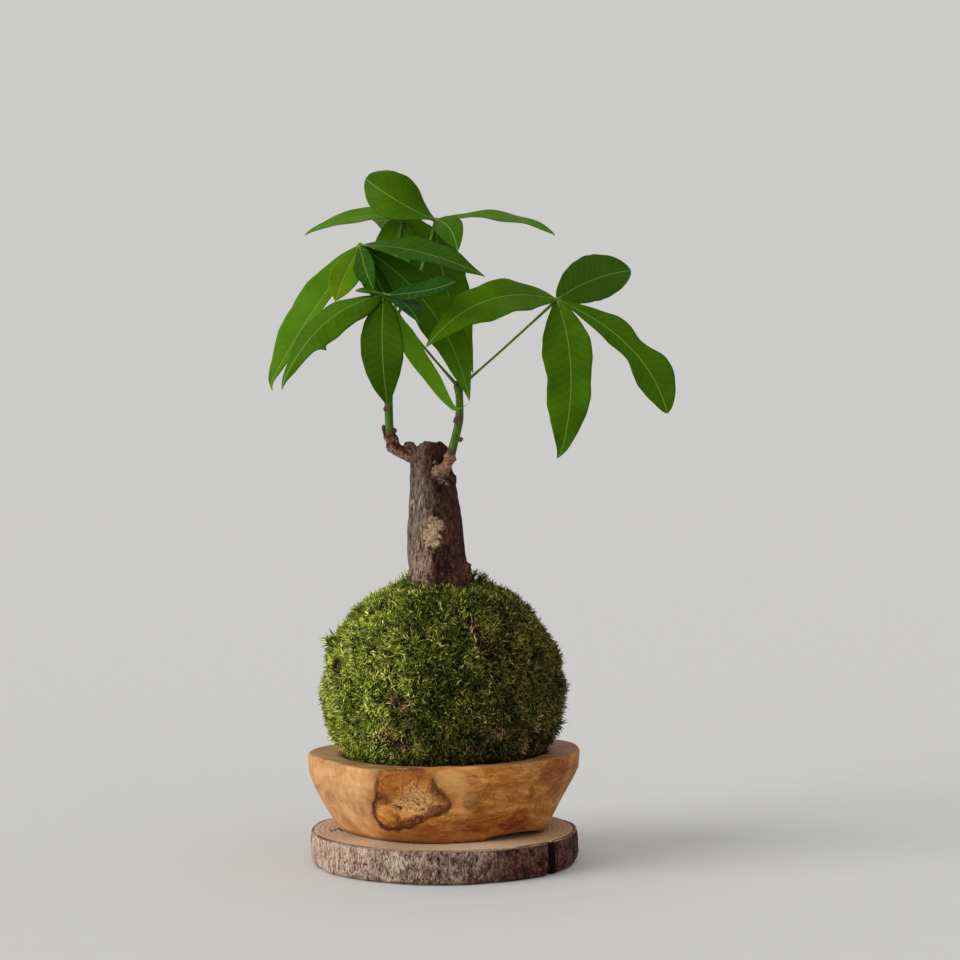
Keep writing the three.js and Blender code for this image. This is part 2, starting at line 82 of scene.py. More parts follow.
class Signal:
    """A node's output. Python operators on it add Math nodes to its recipe."""

    def __init__(self, recipe: "Recipe", socket: bpy.types.NodeSocket) -> None:
        """Wrap one output socket of a recipe's tree."""
        self.recipe = recipe
        self.socket = socket

    def __add__(self, other: "Signal | float") -> "Signal":
        """Sum."""
        return self.recipe.math("ADD", self, other)

    def __radd__(self, other: float) -> "Signal":
        """Sum with a number on the left."""
        return self.recipe.math("ADD", other, self)

    def __sub__(self, other: "Signal | float") -> "Signal":
        """Difference."""
        return self.recipe.math("SUBTRACT", self, other)

    def __rsub__(self, other: float) -> "Signal":
        """Difference with a number on the left."""
        return self.recipe.math("SUBTRACT", other, self)

    def __mul__(self, other: "Signal | float") -> "Signal":
        """Product."""
        return self.recipe.math("MULTIPLY", self, other)

    def __rmul__(self, other: float) -> "Signal":
        """Product with a number on the left."""
        return self.recipe.math("MULTIPLY", other, self)

    def __truediv__(self, other: "Signal | float") -> "Signal":
        """Quotient."""
        return self.recipe.math("DIVIDE", self, other)

    def __abs__(self) -> "Signal":
        """Size without sign."""
        return self.recipe.math("ABSOLUTE", self)

    def fract(self) -> "Signal":
        """What is left after the whole part."""
        return self.recipe.math("FRACT", self)

    def sine(self) -> "Signal":
        """Sine, of radians."""
        return self.recipe.math("SINE", self)

    def rise(self, low: float, high: float) -> "Signal":
        """Smooth step.

        Args:
            low: Value where the result is 0.
            high: Value where the result is 1. It may be below low, which makes a fall.

        Returns:
            The share, from 0 to 1.
        """
        if low > high:
            return 1 - self.rise(high, low)
        settings = {"interpolation_type": "SMOOTHSTEP"}
        values = {"Value": self, "From Min": low, "From Max": high}
        return self.recipe.node("ShaderNodeMapRange", settings, values)


class Recipe:
    """One procedural material, built node by node."""

    def __init__(self, name: str) -> None:
        """Start an empty material, with Object coordinates at hand.

        Args:
            name: The material's name.
        """
        self.material = bpy.data.materials.new(name)
        self.material.use_nodes = True
        self.tree = self.material.node_tree
        self.tree.nodes.clear()
        self.place = self.node("ShaderNodeTexCoord", output="Object")
        axes = self.node("ShaderNodeSeparateXYZ", values={"Vector": self.place}).socket.node
        self.x, self.y, self.z = (Signal(self, socket) for socket in axes.outputs)

    def node(
        self,
        kind: str,
        settings: dict | None = None,
        values: dict | None = None,
        output: int | str = 0,
    ) -> Signal:
        """Add a node.

        Args:
            kind: The node's type.
            settings: Properties that are set before the sockets. "stops" are a ramp's (place, colour) pairs.
            values: Numbers, colours or signals by the socket's name or number.
            output: The output that is wanted.

        Returns:
            That output.
        """
        made = self.tree.nodes.new(kind)
        for key, value in (settings or {}).items():
            if key == "stops":
                elements = made.color_ramp.elements
                for index, (spot, colour) in enumerate(value):
                    stop = elements[index] if index < 2 else elements.new(spot)
                    stop.position = spot
                    stop.color = (*colour, 1)
            else:
                setattr(made, key, value)
        for key, value in (values or {}).items():
            socket = made.inputs[key]
            if isinstance(value, Signal):
                self.tree.links.new(value.socket, socket)
            elif isinstance(value, tuple) and socket.type == "RGBA":
                socket.default_value = (*value, 1)
            else:
                socket.default_value = value
        return Signal(self, made.outputs[output])

    def math(self, operation: str, *terms: "Signal | float") -> Signal:
        """Add a Math node.

        Args:
            operation: Its operation.
            terms: Its values, in order.

        Returns:
            The result.
        """
        return self.node("ShaderNodeMath", {"operation": operation}, dict(enumerate(terms)))

    def mix(self, share: "Signal | float", first: "Signal | Colour", second: "Signal | Colour") -> Signal:
        """Blend two colours.

        Args:
            share: How much of the second there is.
            first: Colour at share 0.
            second: Colour at share 1.

        Returns:
            The blend.
        """
        return self.node("ShaderNodeMix", {"data_type": "RGBA"}, {0: share, 6: first, 7: second}, 2)

    def tint(self, colour: "Signal | Colour", by: "Signal | Colour", share: "Signal | float" = 1.0) -> Signal:
        """Multiply a colour by another.

        Args:
            colour: What is tinted.
            by: The tint.
            share: Its strength.

        Returns:
            The product.
        """
        settings = {"data_type": "RGBA", "blend_type": "MULTIPLY"}
        return self.node("ShaderNodeMix", settings, {0: share, 6: colour, 7: by}, 2)

    def ramp(self, share: Signal, *stops: tuple[float, Colour]) -> Signal:
        """Colour ramp.

        Args:
            share: Where on the ramp.
            stops: Place and colour of each stop, in order.

        Returns:
            The colour.
        """
        return self.node("ShaderNodeValToRGB", {"stops": stops}, {"Fac": share})

    def stretched(self, scale: Triple, at: Triple = (0, 0, 0)) -> Signal:
        """Object coordinates moved, then stretched.

        Args:
            scale: Factor along each axis.
            at: Point in metres that becomes the middle.

        Returns:
            The coordinates.
        """
        shift = tuple(-a * s for a, s in zip(at, scale))
        values = {"Vector": self.place, "Location": shift, "Scale": scale}
        return self.node("ShaderNodeMapping", values=values)

    def noise(
        self, scale: float, detail: float = 3, rough: float = 0.55, warp: float = 0, at: Signal | None = None
    ) -> Signal:
        """Noise from 0 to 1.

        Args:
            scale: Cells per metre.
            detail: Octaves.
            rough: Weight of the finer octaves.
            warp: Distortion.
            at: Coordinates in place of the piece's own.

        Returns:
            The value.
        """
        values = {"Vector": at or self.place, "Scale": scale, "Detail": detail, "Roughness": rough}
        return self.node("ShaderNodeTexNoise", values=values | {"Distortion": warp})

    def spot(
        self, centre: Triple, reach: Triple, soft: float = 0.5, ragged: float = 0.4, grain: float = 220
    ) -> Signal:
        """Ragged patch round a point.

        Args:
            centre: Middle, in millimetres.
            reach: Half sizes, in millimetres.
            soft: Share of the reach over which it fades.
            ragged: How far noise moves its edge, as a share of the reach.
            grain: Scale of that noise.

        Returns:
            1 inside, 0 outside.
        """
        scale = tuple(1 / (r * MM) for r in reach)
        local = self.stretched(scale, tuple(c * MM for c in centre))
        away = self.node("ShaderNodeVectorMath", {"operation": "LENGTH"}, {0: local}, "Value")
        edge = away + (self.noise(grain) - 0.5) * (2 * ragged)
        return edge.rise(1 + soft / 2, 1 - soft / 2)

    def bump(self, height: Signal, depth: float, strength: float = 1.0) -> Signal:
        """Bumped normal.

        Args:
            height: Relief from 0 to 1.
            depth: Its depth in millimetres.
            strength: Strength of the effect.

        Returns:
            The normal.
        """
        values = {"Height": height, "Distance": depth * MM, "Strength": strength}
        return self.node("ShaderNodeBump", values=values)

    def surface(
        self, thin: "tuple[Colour, float] | None" = None, **sockets: "Signal | float | Colour"
    ) -> bpy.types.Material:
        """Close the recipe with a Principled shader.

        Args:
            thin: Colour and share of light that a thin piece lets through from behind.
            sockets: Its inputs, with underscores for spaces.

        Returns:
            The material.
        """
        values = {name.replace("_", " "): value for name, value in sockets.items()}
        values = {name.replace("Ior", "IOR"): value for name, value in values.items()}
        shader = self.node("ShaderNodeBsdfPrincipled", values=values)
        if thin:
            glow = {"Color": thin[0]} | ({"Normal": values["Normal"]} if "Normal" in values else {})
            through = self.node("ShaderNodeBsdfTranslucent", values=glow)
            shader = self.node("ShaderNodeMixShader", values={0: thin[1], 1: shader, 2: through})
        out = self.tree.nodes.new("ShaderNodeOutputMaterial")
        self.tree.links.new(shader.socket, out.inputs["Surface"])
        return self.material


# ----------------------------------------------------------------------------------------------------------
# Finishes
# ----------------------------------------------------------------------------------------------------------


@dataclass(frozen=True)
class MossFinish:
    """Moss: dark at the root, partly painted shade; bright at the tip; painted light on its left side and a
    duller colour with painted shade to the right and low down; painted shade in its hollows and gaps; with
    brown places.
    """

    # Near-black strand bases: the moss's own darker base, deepened with painted shade between the strands.
    root: Colour = (0.006, 0.011, 0.002)
    deep: Colour = (0.028, 0.058, 0.004)
    green: Colour = (0.066, 0.100, 0.007)
    bright: Colour = (0.37, 0.42, 0.075)
    # Painted light on the left side of the ball.
    lit_green: Colour = (0.245, 0.330, 0.032)
    lit_bright: Colour = (0.82, 0.90, 0.31)
    # The duller colours with painted shade of the right and lower side, at root and tip, then the lit straw and
    # the straw in painted shade.
    shaded_dull: Colour = (0.030, 0.028, 0.006)
    olive: Colour = (0.165, 0.150, 0.046)
    straw: Colour = (0.50, 0.50, 0.19)
    shaded_dull_straw: Colour = (0.26, 0.23, 0.11)
    withered: Colour = (0.020, 0.009, 0.006)
    husk: Colour = (0.085, 0.042, 0.026)
    pale_husk: Colour = (0.62, 0.40, 0.23)
    peat: Colour = (0.036, 0.021, 0.010)
    # Brown places, as middle and reach in millimetres.
    bare: tuple[tuple[Triple, float], ...] = (
        ((20, -58, 150), 6), ((25, -64, 139), 7), ((-26, -67, 104), 5), ((-20, -68, 98), 5),
        ((-30, -62, 78), 8), ((-64, -32, 122), 6), ((50, -42, 78), 11), ((31, -57, 82), 7),
        ((13, -70, 101), 3), ((-20, -66, 80), 5), ((40, 60, 110), 14), ((-50, 50, 90), 11),
        ((0, 66, 132), 9),
    )

    def patches(self, recipe: Recipe) -> tuple[Signal, Signal]:
        """Where the moss is duller with painted shade, to the right and low down, and where it is brown.

        Args:
            recipe: Recipe that gets the nodes.

        Returns:
            The share of the duller colour with painted shade, and the brown share.
        """
        # painted shade: duller and darker to the right and lower down
        shaded_dull = recipe.x + (0.105 - recipe.z) * 0.50 + recipe.noise(34, 3) * 0.060 - 0.026
        brown = (recipe.noise(60, 3, 0.6) - 0.60) * 2.2 + 0.10
        brown = recipe.math("MAXIMUM", brown, 0.0)
        for centre, reach in self.bare:
            brown = brown + recipe.spot(centre, (reach, reach, reach * 1.3), 0.9, 1.1, 110) * 0.9
        return shaded_dull.rise(-0.012, 0.050), recipe.math("MINIMUM", brown, 1.0)

    def strands(self) -> bpy.types.Material:
        """Material of the strands, which reads each strand's number and the way along it from their map.

        Returns:
            The material.
        """
        recipe = Recipe("moss_strands")
        own = recipe.node("ShaderNodeUVMap", {"uv_map": "Strand"})
        axes = recipe.node("ShaderNodeSeparateXYZ", values={"Vector": own}).socket.node
        kind, along = Signal(recipe, axes.outputs[0]), Signal(recipe, axes.outputs[1])
        shaded_dull, brown = self.patches(recipe)
        lush = recipe.noise(48, 2, 0.5).rise(0.36, 0.66)
        # painted light: the left side of the ball is lighter
        lit = (recipe.x + (recipe.noise(40, 2) - 0.5) * 0.05).rise(0.000, -0.046)
        green = recipe.mix(lit, self.green, self.lit_green)
        bright = recipe.mix(lit, self.bright, self.lit_bright)
        lively = recipe.mix(along.rise(0.10, 0.60), self.deep, green)
        tip = along.rise(0.30, 0.90) * (kind * 3).fract().rise(0.25, 0.85)
        lively = recipe.mix(tip * (1 - lush * 0.65), lively, bright)
        # the duller colour with painted shade of the right and lower side
        shaded_dull_side = recipe.mix(along.rise(0.25, 1.0), self.shaded_dull, self.olive)
        colour = recipe.mix(shaded_dull * 0.85, lively, shaded_dull_side)
        husks = recipe.mix(recipe.noise(120, 2, 0.6).rise(0.44, 0.58), self.husk, self.pale_husk)
        rust = recipe.mix(along.rise(0.2, 0.9), self.withered, husks)
        colour = recipe.mix(brown * kind.rise(0.05, 0.30), colour, rust)
        straw = recipe.mix(shaded_dull, self.straw, self.shaded_dull_straw)
        colour = recipe.mix(kind.rise(0.90, 0.96) * along.rise(0.1, 0.5) * 0.9, colour, straw)
        # random tone for each strand, and painted shade in small hollows from the finer noise
        shade = recipe.ramp(
            (kind * 7).fract() * 0.55 + recipe.noise(170, 2, 0.6) * 0.45,
            (0.18, (0.16, 0.18, 0.15)), (0.47, (0.86, 0.86, 0.80)), (0.80, (2.20, 2.00, 1.72)),
        )
        colour = recipe.tint(colour, shade)
        # painted shade in the hollows between clumps
        hollow = recipe.ramp(recipe.noise(62, 3, 0.6), (0.38, (0.42, 0.46, 0.40)), (0.54, (1.05, 1.05, 1.0)))
        colour = recipe.tint(colour, hollow)
        # painted shade: near-black gaps between strands, with lighter strands beside them
        gap_shade = recipe.ramp(recipe.noise(330, 2, 0.5), (0.36, (0.20, 0.22, 0.18)), (0.50, (1.24, 1.22, 1.16)))
        colour = recipe.tint(colour, gap_shade)
        # painted shade: the lower part of the ball darkens, except at its far left
        low = recipe.z.rise(0.108, 0.072) * recipe.x.rise(-0.050, -0.010)
        colour = recipe.tint(colour, (0.60, 0.58, 0.55), low)
        # dark strand roots: their own darker base, partly painted shade between the strands
        colour = recipe.mix(along.rise(0.50, 0.10), colour, self.root)
        return recipe.surface(Base_Color=colour, Roughness=0.70, Specular_IOR_Level=0.08)

    def mat(self) -> bpy.types.Material:
        """Material of the dark mat under the strands.

        Returns:
            The material.
        """
        recipe = Recipe("moss_mat")
        _, brown = self.patches(recipe)
        fibre = recipe.noise(900, 4, 0.7, 1.5)
        colour = recipe.ramp(fibre, (0.35, (0.005, 0.008, 0.002)), (0.7, (0.030, 0.040, 0.007)))
        colour = recipe.mix(brown * 0.6, colour, self.peat)
        bumped = recipe.bump(fibre, 1.2)
        return recipe.surface(Base_Color=colour, Roughness=0.95, Specular_IOR_Level=0.05, Normal=bumped)


@dataclass(frozen=True)
class LeafFinish:
    """Glossy leaf: a light midrib, fine paired veins and painted light and shade set for each leaflet."""

    # shaded, lively, sunny and shone_through are painted shade, painted light and painted light shining
    # through; green is the plain leaf.
    shaded: Colour = (0.008, 0.058, 0.0018)
    green: Colour = (0.051, 0.132, 0.0010)
    lively: Colour = (0.098, 0.250, 0.0025)
    sunny: Colour = (0.210, 0.280, 0.003)
    shone_through: Colour = (0.165, 0.410, 0.006)
    rib: Colour = (0.27, 0.43, 0.075)
    veined: Colour = (0.15, 0.29, 0.022)
    speckled: Colour = (0.30, 0.36, 0.12)
    glow: Colour = (0.11, 0.25, 0.002)
    glow_share: float = 0.25

    def material(self) -> bpy.types.Material:
        """Material of the blades, which reads their map and their tone.

        Returns:
            The material.
        """
        recipe = Recipe("leaf_blade")
        own = recipe.node("ShaderNodeUVMap", {"uv_map": "Blade"})
        axes = recipe.node("ShaderNodeSeparateXYZ", values={"Vector": own}).socket.node
        across, along = (Signal(recipe, axes.outputs[i]) * BLADE_MAP for i in range(2))
        across = abs(across)
        painted_light_tone = recipe.node("ShaderNodeAttribute", {"attribute_name": "painted_light_tone"}, output="Fac")
        wander = recipe.noise(60, 2) * 1.6
        slope = (along - across * VEIN_SLANT + across * across * VEIN_BEND + wander) / VEIN_STEP
        vein = abs(slope.fract() - 0.5).rise(0.45, 0.5) * across.rise(0.3, 1.0)
        fine = recipe.noise(900, 3, 0.6)
        rib = across.rise(0.37, 0.13)
        mottle = recipe.noise(75, 3, 0.6) - 0.5
        # painted light and shade from each leaflet's tone, with random mottle
        share = painted_light_tone * 0.5 + 0.5 + mottle * 0.34 + (fine - 0.5) * 0.10
        colour = recipe.ramp(
            share, (0.0, self.shaded), (0.5, self.green), (0.82, self.lively), (1.0, self.sunny)
        )
        # painted light shining through the blade
        colour = recipe.mix(painted_light_tone.rise(1.2, 1.8), colour, self.shone_through)
        colour = recipe.mix(vein * 0.40, colour, self.veined)
        speck = recipe.noise(430, 1, 0.5).rise(0.80, 0.84) * 0.5
        colour = recipe.mix(speck, colour, self.speckled)
        colour = recipe.mix(rib * 0.72, colour, self.rib)
        puff = abs(slope.fract() - 0.5).rise(0.5, 0.0)
        relief = puff * 0.4 + fine * 0.08 - rib * 0.3
        normal = recipe.bump(relief, 0.3, 0.45)
        shine = 0.30 + recipe.noise(40, 2).rise(0.35, 0.65) * 0.22
        through = (self.glow, self.glow_share)
        return recipe.surface(
            through, Base_Color=colour, Roughness=shine, Specular_IOR_Level=0.05, Normal=normal
        )


@dataclass(frozen=True)
class StemFinish:
    """Green shoot or leaf stalk, with pale lenticels and, on a shoot, brown rings at its nodes."""

    name: str
    green: Colour = (0.036, 0.084, 0.004)
    light: Colour = (0.112, 0.182, 0.017)
    lenticel: Colour = (0.30, 0.34, 0.16)
    ring_dark: Colour = (0.038, 0.013, 0.009)
    ring_light: Colour = (0.12, 0.055, 0.034)
    # Brown rings and bud scars: middle and reach.
    rings: tuple[tuple[Triple, Triple], ...] = ()

    def material(self) -> bpy.types.Material:
        """Make the material.

        Returns:
            The material.
        """
        recipe = Recipe(self.name)
        fibre = recipe.noise(300, 3, 0.6, at=recipe.stretched((4, 4, 0.6)))
        colour = recipe.mix(fibre.rise(0.35, 0.75), self.green, self.light)
        colour = recipe.mix(recipe.noise(800, 1).rise(0.70, 0.76) * 0.5, colour, self.lenticel)
        for centre, reach in self.rings:
            mark = recipe.spot(centre, reach, 0.9, 0.6, 420)
            colour = recipe.mix(mark * 0.85, colour, recipe.mix(fibre, self.ring_dark, self.ring_light))
        normal = recipe.bump(fibre, 0.25, 0.5)
        return recipe.surface(Base_Color=colour, Roughness=0.42, Specular_IOR_Level=0.13, Normal=normal)


@dataclass(frozen=True)
class BarkFinish:
    """Stump bark: grey-brown fibres, redder and darker on the right, partly painted shade, with a tan scar and
    painted shade in a dark cleft.
    """

    pale: Colour = (0.42, 0.31, 0.235)
    middle: Colour = (0.165, 0.110, 0.082)
    dark: Colour = (0.020, 0.011, 0.009)
    red: Colour = (0.088, 0.019, 0.011)
    plum: Colour = (0.010, 0.004, 0.003)
    shade: Colour = (0.62, 0.56, 0.54)
    # The left twig: in its cracks, on its fibres and on its pale underside.
    left_twig: tuple[Colour, Colour, Colour] = (
        (0.024, 0.008, 0.006), (0.15, 0.058, 0.036), (0.36, 0.215, 0.145)
    )
    # The right twig: between its rings and on them.
    right_twig: tuple[Colour, Colour] = ((0.10, 0.038, 0.022), (0.47, 0.29, 0.185))
    flaked: Colour = (0.42, 0.27, 0.19)
    streaked: Colour = (0.40, 0.275, 0.20)
    # Near-black painted shade in the cleft.
    cleft_shade: Colour = (0.012, 0.005, 0.006)
    crumbled: Colour = (0.27, 0.115, 0.048)
    # Where the skin flakes off below the right twig: middle and reach.
    flakes: tuple[tuple[Triple, Triple], ...] = (
        ((-1.5, -16, 232.5), (2.2, 8, 1.5)), ((3, -16, 230), (1.8, 8, 1.2)), ((-3.5, -14, 240), (2, 8, 3.5)),
        ((-6, -14, 243), (1.4, 8, 2)),
    )
    # The raw scar's two halves: middle and reach.
    scars: tuple[tuple[Triple, Triple], ...] = (
        ((-6.8, -17, 198.5), (5.2, 12, 7.4)), ((-5.2, -17, 205.5), (5.6, 12, 4.8)),
    )

    def material(self) -> bpy.types.Material:
        """Make the material.

        Returns:
            The material.
        """
        recipe = Recipe("stump_bark")
        grain = recipe.stretched((1, 1, 0.34))
        fibre = recipe.noise(640, 5, 0.74, 0.5, at=grain)
        broad = recipe.noise(110, 3, 0.6, at=grain)
        crack = recipe.noise(260, 4, 0.62, 1.2, at=recipe.stretched((1, 1, 0.2)))
        share = fibre * 0.80 + broad * 0.30
        colour = recipe.ramp(share, (0.44, self.dark), (0.56, self.middle), (0.70, self.pale))
        # the reddish right side of the bark: partly its own colour, partly painted shade on the side away from
        # the light
        leftward = recipe.z * 0.04 + recipe.z.rise(0.202, 0.188) * 0.009 - 0.0072
        ruddy_and_shaded = (recipe.x + (broad - 0.5) * 0.018 + leftward).rise(-0.013, -0.001)
        ruddy_and_shaded = recipe.math("MAXIMUM", ruddy_and_shaded, recipe.z.rise(0.236, 0.246) * recipe.x.rise(-0.010, -0.004))
        maroon = recipe.mix(share.rise(0.42, 0.72), self.plum, self.red)
        colour = recipe.mix(ruddy_and_shaded * 0.90, colour, maroon)
        self_shade = recipe.z.rise(0.262, 0.244) * recipe.z.rise(0.228, 0.240)
        colour = recipe.tint(colour, self.shade, self_shade)
        twig = recipe.x.rise(-0.0165, -0.0205) * recipe.z.rise(0.240, 0.244)
        under = recipe.node("ShaderNodeNewGeometry", output="Normal")
        under = recipe.node("ShaderNodeSeparateXYZ", values={"Vector": under}, output=2).rise(0.1, -0.5)
        rusty = recipe.mix(fibre.rise(0.40, 0.66), self.left_twig[0], self.left_twig[1])
        rusty = recipe.mix(under * fibre.rise(0.35, 0.55), rusty, self.left_twig[2])
        colour = recipe.mix(twig * 0.85, colour, rusty)
        right = recipe.y.rise(-0.0135, -0.0155) * recipe.z.rise(0.2335, 0.2365)
        rings = (recipe.z * 2900 + recipe.x * 1200 + recipe.noise(220) * 9).sine() * 0.5 + 0.5
        ringed = recipe.mix(rings * 0.26 + fibre.rise(0.35, 0.65) * 0.66, *self.right_twig)
        colour = recipe.mix(right * 0.85, colour, ringed)
        for centre, reach in self.flakes:
            flake = recipe.spot(centre, reach, 0.9, 0.9, 420) * fibre.rise(0.44, 0.56)
            colour = recipe.mix(flake * 0.75, colour, self.flaked)
        streak = recipe.spot((-14.6, -14, 181), (7.8, 14, 15), 0.8, 0.6, 300) * fibre.rise(0.42, 0.58)
        colour = recipe.mix(streak * 0.8, colour, self.streaked)
        # painted shade: a near-black patch in the cleft
        cleft_shade = recipe.spot((1.5, -18, 181), (5, 12, 15), 0.7, 0.6, 220)
        colour = recipe.mix(cleft_shade * fibre.rise(0.62, 0.46) * 0.85, colour, self.cleft_shade)
        crumbs = recipe.spot((15.5, -8, 179), (3.6, 10, 7), 0.9, 0.9, 300) * fibre.rise(0.44, 0.58)
        colour = recipe.mix(crumbs * 0.8, colour, self.crumbled)
        scar = recipe.math("MAXIMUM", *(recipe.spot(*half, 0.25, 0.85, 480) for half in self.scars))
        tan = recipe.ramp(
            recipe.noise(430, 5, 0.74),
            (0.38, (0.07, 0.036, 0.020)), (0.49, (0.32, 0.200, 0.112)), (0.62, (0.58, 0.43, 0.27)),
        )
        colour = recipe.mix(scar * 0.93, colour, tan)
        height = fibre * 0.7 + broad * 0.2 + crack * 0.5
        return recipe.surface(
            Base_Color=colour, Roughness=0.82, Specular_IOR_Level=0.07, Normal=recipe.bump(height, 1.6, 1.0)
        )


@dataclass(frozen=True)
class RootWoodFinish:
    """Carved root wood of the bowl: honey tan, with a large knot, burr speckles and reddish patches."""

    pale: Colour = (0.58, 0.265, 0.072)
    honey: Colour = (0.37, 0.128, 0.018)
    amber: Colour = (0.19, 0.054, 0.006)
    umber: Colour = (0.050, 0.014, 0.005)
    rust: Colour = (0.135, 0.026, 0.004)
    rust_light: Colour = (0.36, 0.098, 0.010)
    # The paler, streaked left side, dark and light.
    plain: tuple[Colour, Colour] = ((0.42, 0.19, 0.062), (0.72, 0.42, 0.20))
    # The dusky blot right of the knot, dark and light, and its pale halo.
    dusky: tuple[Colour, Colour] = ((0.16, 0.052, 0.012), (0.36, 0.150, 0.046))
    halo: Colour = (0.58, 0.295, 0.105)
    foot: Colour = (0.30, 0.105, 0.018)
    burr: Colour = (0.62, 0.335, 0.125)
    burr_eye: Colour = (0.24, 0.095, 0.025)
    knot_edge: Colour = (0.115, 0.030, 0.008)
    knot_grain: Colour = (0.46, 0.18, 0.040)
    knot_split: Colour = (0.070, 0.020, 0.006)
    knot_cut: Colour = (0.035, 0.010, 0.004)
    # Stained places on the front and round the sides: middle, reach and strength.
    stains: tuple[tuple[Triple, Triple, float], ...] = (
        ((46, -52, 29.5), (14, 20, 5.2), 1.0), ((46, -52, 35.5), (5.5, 20, 5.0), 0.95),
        ((67, -38, 62), (11, 20, 4.2), 0.85), ((71, -32, 57), (4, 12, 4), 0.8),
        ((53, -50, 49.6), (1.7, 16, 3.6), 0.95), ((51, -50, 47), (2.6, 16, 1.5), 0.7),
        ((21, -64, 44), (3, 20, 6), 0.3), ((8, -66, 37.7), (7.5, 20, 0.7), 0.6),
        ((14, -62, 33), (13, 20, 5.5), 0.4), ((8, -62, 27), (20, 20, 5), 0.5),
        ((24, -62, 28), (6, 20, 4), 0.6), ((80, 5, 45), (8, 14, 8), 0.6),
        ((-15, 68, 45), (14, 20, 8), 0.6), ((-75, 20, 50), (8, 12, 7), 0.4),
        ((40, 65, 35), (10, 16, 7), 0.7), ((-79, -18, 47), (4, 8, 3.2), 0.55),
    )
    # Smears and tints inside the knot: middle, reach, colour and strength.
    smears: tuple[tuple[Triple, Triple, Colour, float], ...] = (
        ((-30, -64, 57), (10, 30, 9), (0.34, 0.105, 0.012), 0.6),
        ((-14, -66, 62), (12, 30, 3.4), (0.36, 0.098, 0.020), 0.75),
        ((-19, -66, 65.6), (18, 30, 1.8), (0.13, 0.036, 0.009), 0.8),
        ((-14, -64, 31.6), (16, 30, 4.0), (0.120, 0.022, 0.008), 0.95),
        ((-8.5, -66, 36.2), (6, 30, 3.2), (0.115, 0.026, 0.006), 0.9),
        ((-1, -66, 40.4), (6.5, 30, 4.0), (0.110, 0.026, 0.005), 0.95),
        ((-1.6, -66, 53), (4.6, 30, 7), (0.105, 0.028, 0.005), 0.95),
        ((-35, -66, 50), (4.5, 30, 2.2), (0.13, 0.036, 0.006), 0.7),
    )
    # Short dark cuts inside the knot: middle, reach and strength.
    cuts: tuple[tuple[Triple, Triple, float], ...] = (
        ((-22.4, -68, 56), (0.5, 30, 6.5), 0.4), ((-27.0, -68, 44.4), (1.5, 30, 0.45), 0.8),
        ((-25.1, -68, 43.5), (1.5, 30, 0.50), 0.85), ((-23.6, -68, 42.5), (0.9, 30, 0.85), 0.9),
    )
    # Where the knot's edge is darkest: middle, reach and strength.
    rims: tuple[tuple[Triple, Triple, float], ...] = (
        ((-39, -62, 38), (7, 30, 13), 1.0), ((-27, -62, 29.5), (12, 30, 5), 1.0),
        ((3, -66, 46), (8, 30, 12), 0.55), ((-39, -62, 54), (5, 30, 10), 0.55),
    )

    def knot_wood(self, recipe: Recipe, burr: Signal) -> Signal:
        """Colour inside the knot: amber at the left, pale burr in the middle, dark smears low and right.

        Args:
            recipe: Recipe that gets the nodes.
            burr: Fine speckle.

        Returns:
            The colour.
        """
        cloud = recipe.noise(130, 4, 0.65, 0.8)
        colour = recipe.ramp(
            cloud * 0.72 + burr * 0.38,
            (0.40, (0.23, 0.066, 0.007)), (0.52, (0.50, 0.175, 0.025)), (0.66, (0.78, 0.37, 0.095)),
        )
        speckled = recipe.spot((-15, -68, 47), (11.5, 30, 9), 0.8, 0.6, 160)
        specks = recipe.ramp(burr, (0.38, (0.30, 0.115, 0.022)), (0.60, (0.86, 0.53, 0.22)))
        colour = recipe.mix(speckled * 0.8, colour, specks)
        for centre, reach, tint, strength in self.smears:
            mark = recipe.spot(centre, reach, 0.95, 0.9, 120)
            smear = recipe.mix(burr.rise(0.4, 0.62), tint, self.knot_grain)
            colour = recipe.mix(mark * strength, colour, smear)
            colour = recipe.mix(mark * strength * 0.55, colour, tint)
        split = abs(recipe.noise(70, 4, 0.65, 1.2) - 0.5).rise(0.022, 0.004) * cloud.rise(0.62, 0.42)
        colour = recipe.mix(split * 0.8, colour, self.knot_split)
        for centre, reach, strength in self.cuts:
            mark = recipe.spot(centre, reach, 0.8, 0.5, 420)
            colour = recipe.mix(mark * strength, colour, self.knot_cut)
        return colour

    def material(self) -> bpy.types.Material:
        """Make the material, which reads the knot's depth from the bowl's own attribute.

        Returns:
            The material.
        """
        recipe = Recipe("root_wood")
        knot = recipe.node("ShaderNodeAttribute", {"attribute_name": "knot"}, output="Fac")
        knot = knot + (recipe.noise(190, 5, 0.70) - 0.5) * 6.5
        grain = recipe.noise(48, 6, 0.62, 1.0, at=recipe.stretched((0.8, 0.8, 2.2)))
        fibre = recipe.noise(520, 4, 0.7, 0.6, at=recipe.stretched((0.3, 0.3, 1)))
        broad = recipe.noise(24, 3, 0.55, 0.8)
        burr = recipe.noise(900, 3, 0.7)
        share = grain * 0.62 + broad * 0.42 + (fibre - 0.5) * 0.42 + (burr - 0.5) * 0.22
        colour = recipe.ramp(share, (0.37, self.amber), (0.51, self.honey), (0.645, self.pale))
        vein = abs(recipe.noise(34, 4, 0.6, 1.5, at=recipe.stretched((1, 1, 1.8))) - 0.5).rise(0.035, 0.0)
        colour = recipe.mix(vein * 0.22, colour, self.amber)
        seam = abs(recipe.noise(46, 5, 0.7, 0.6) - 0.5).rise(0.010, 0.001) * broad.rise(0.46, 0.56)
        colour = recipe.mix(seam * 0.7, colour, self.rust)
        left = recipe.x.rise(-0.030, -0.044) * recipe.y.rise(0.02, -0.02)
        streak = recipe.noise(330, 4, 0.65, 0.4, at=recipe.stretched((1, 1, 0.22)))
        plain = recipe.mix((grain * 0.4 + broad * 0.4 + streak * 0.5).rise(0.48, 0.82), *self.plain)
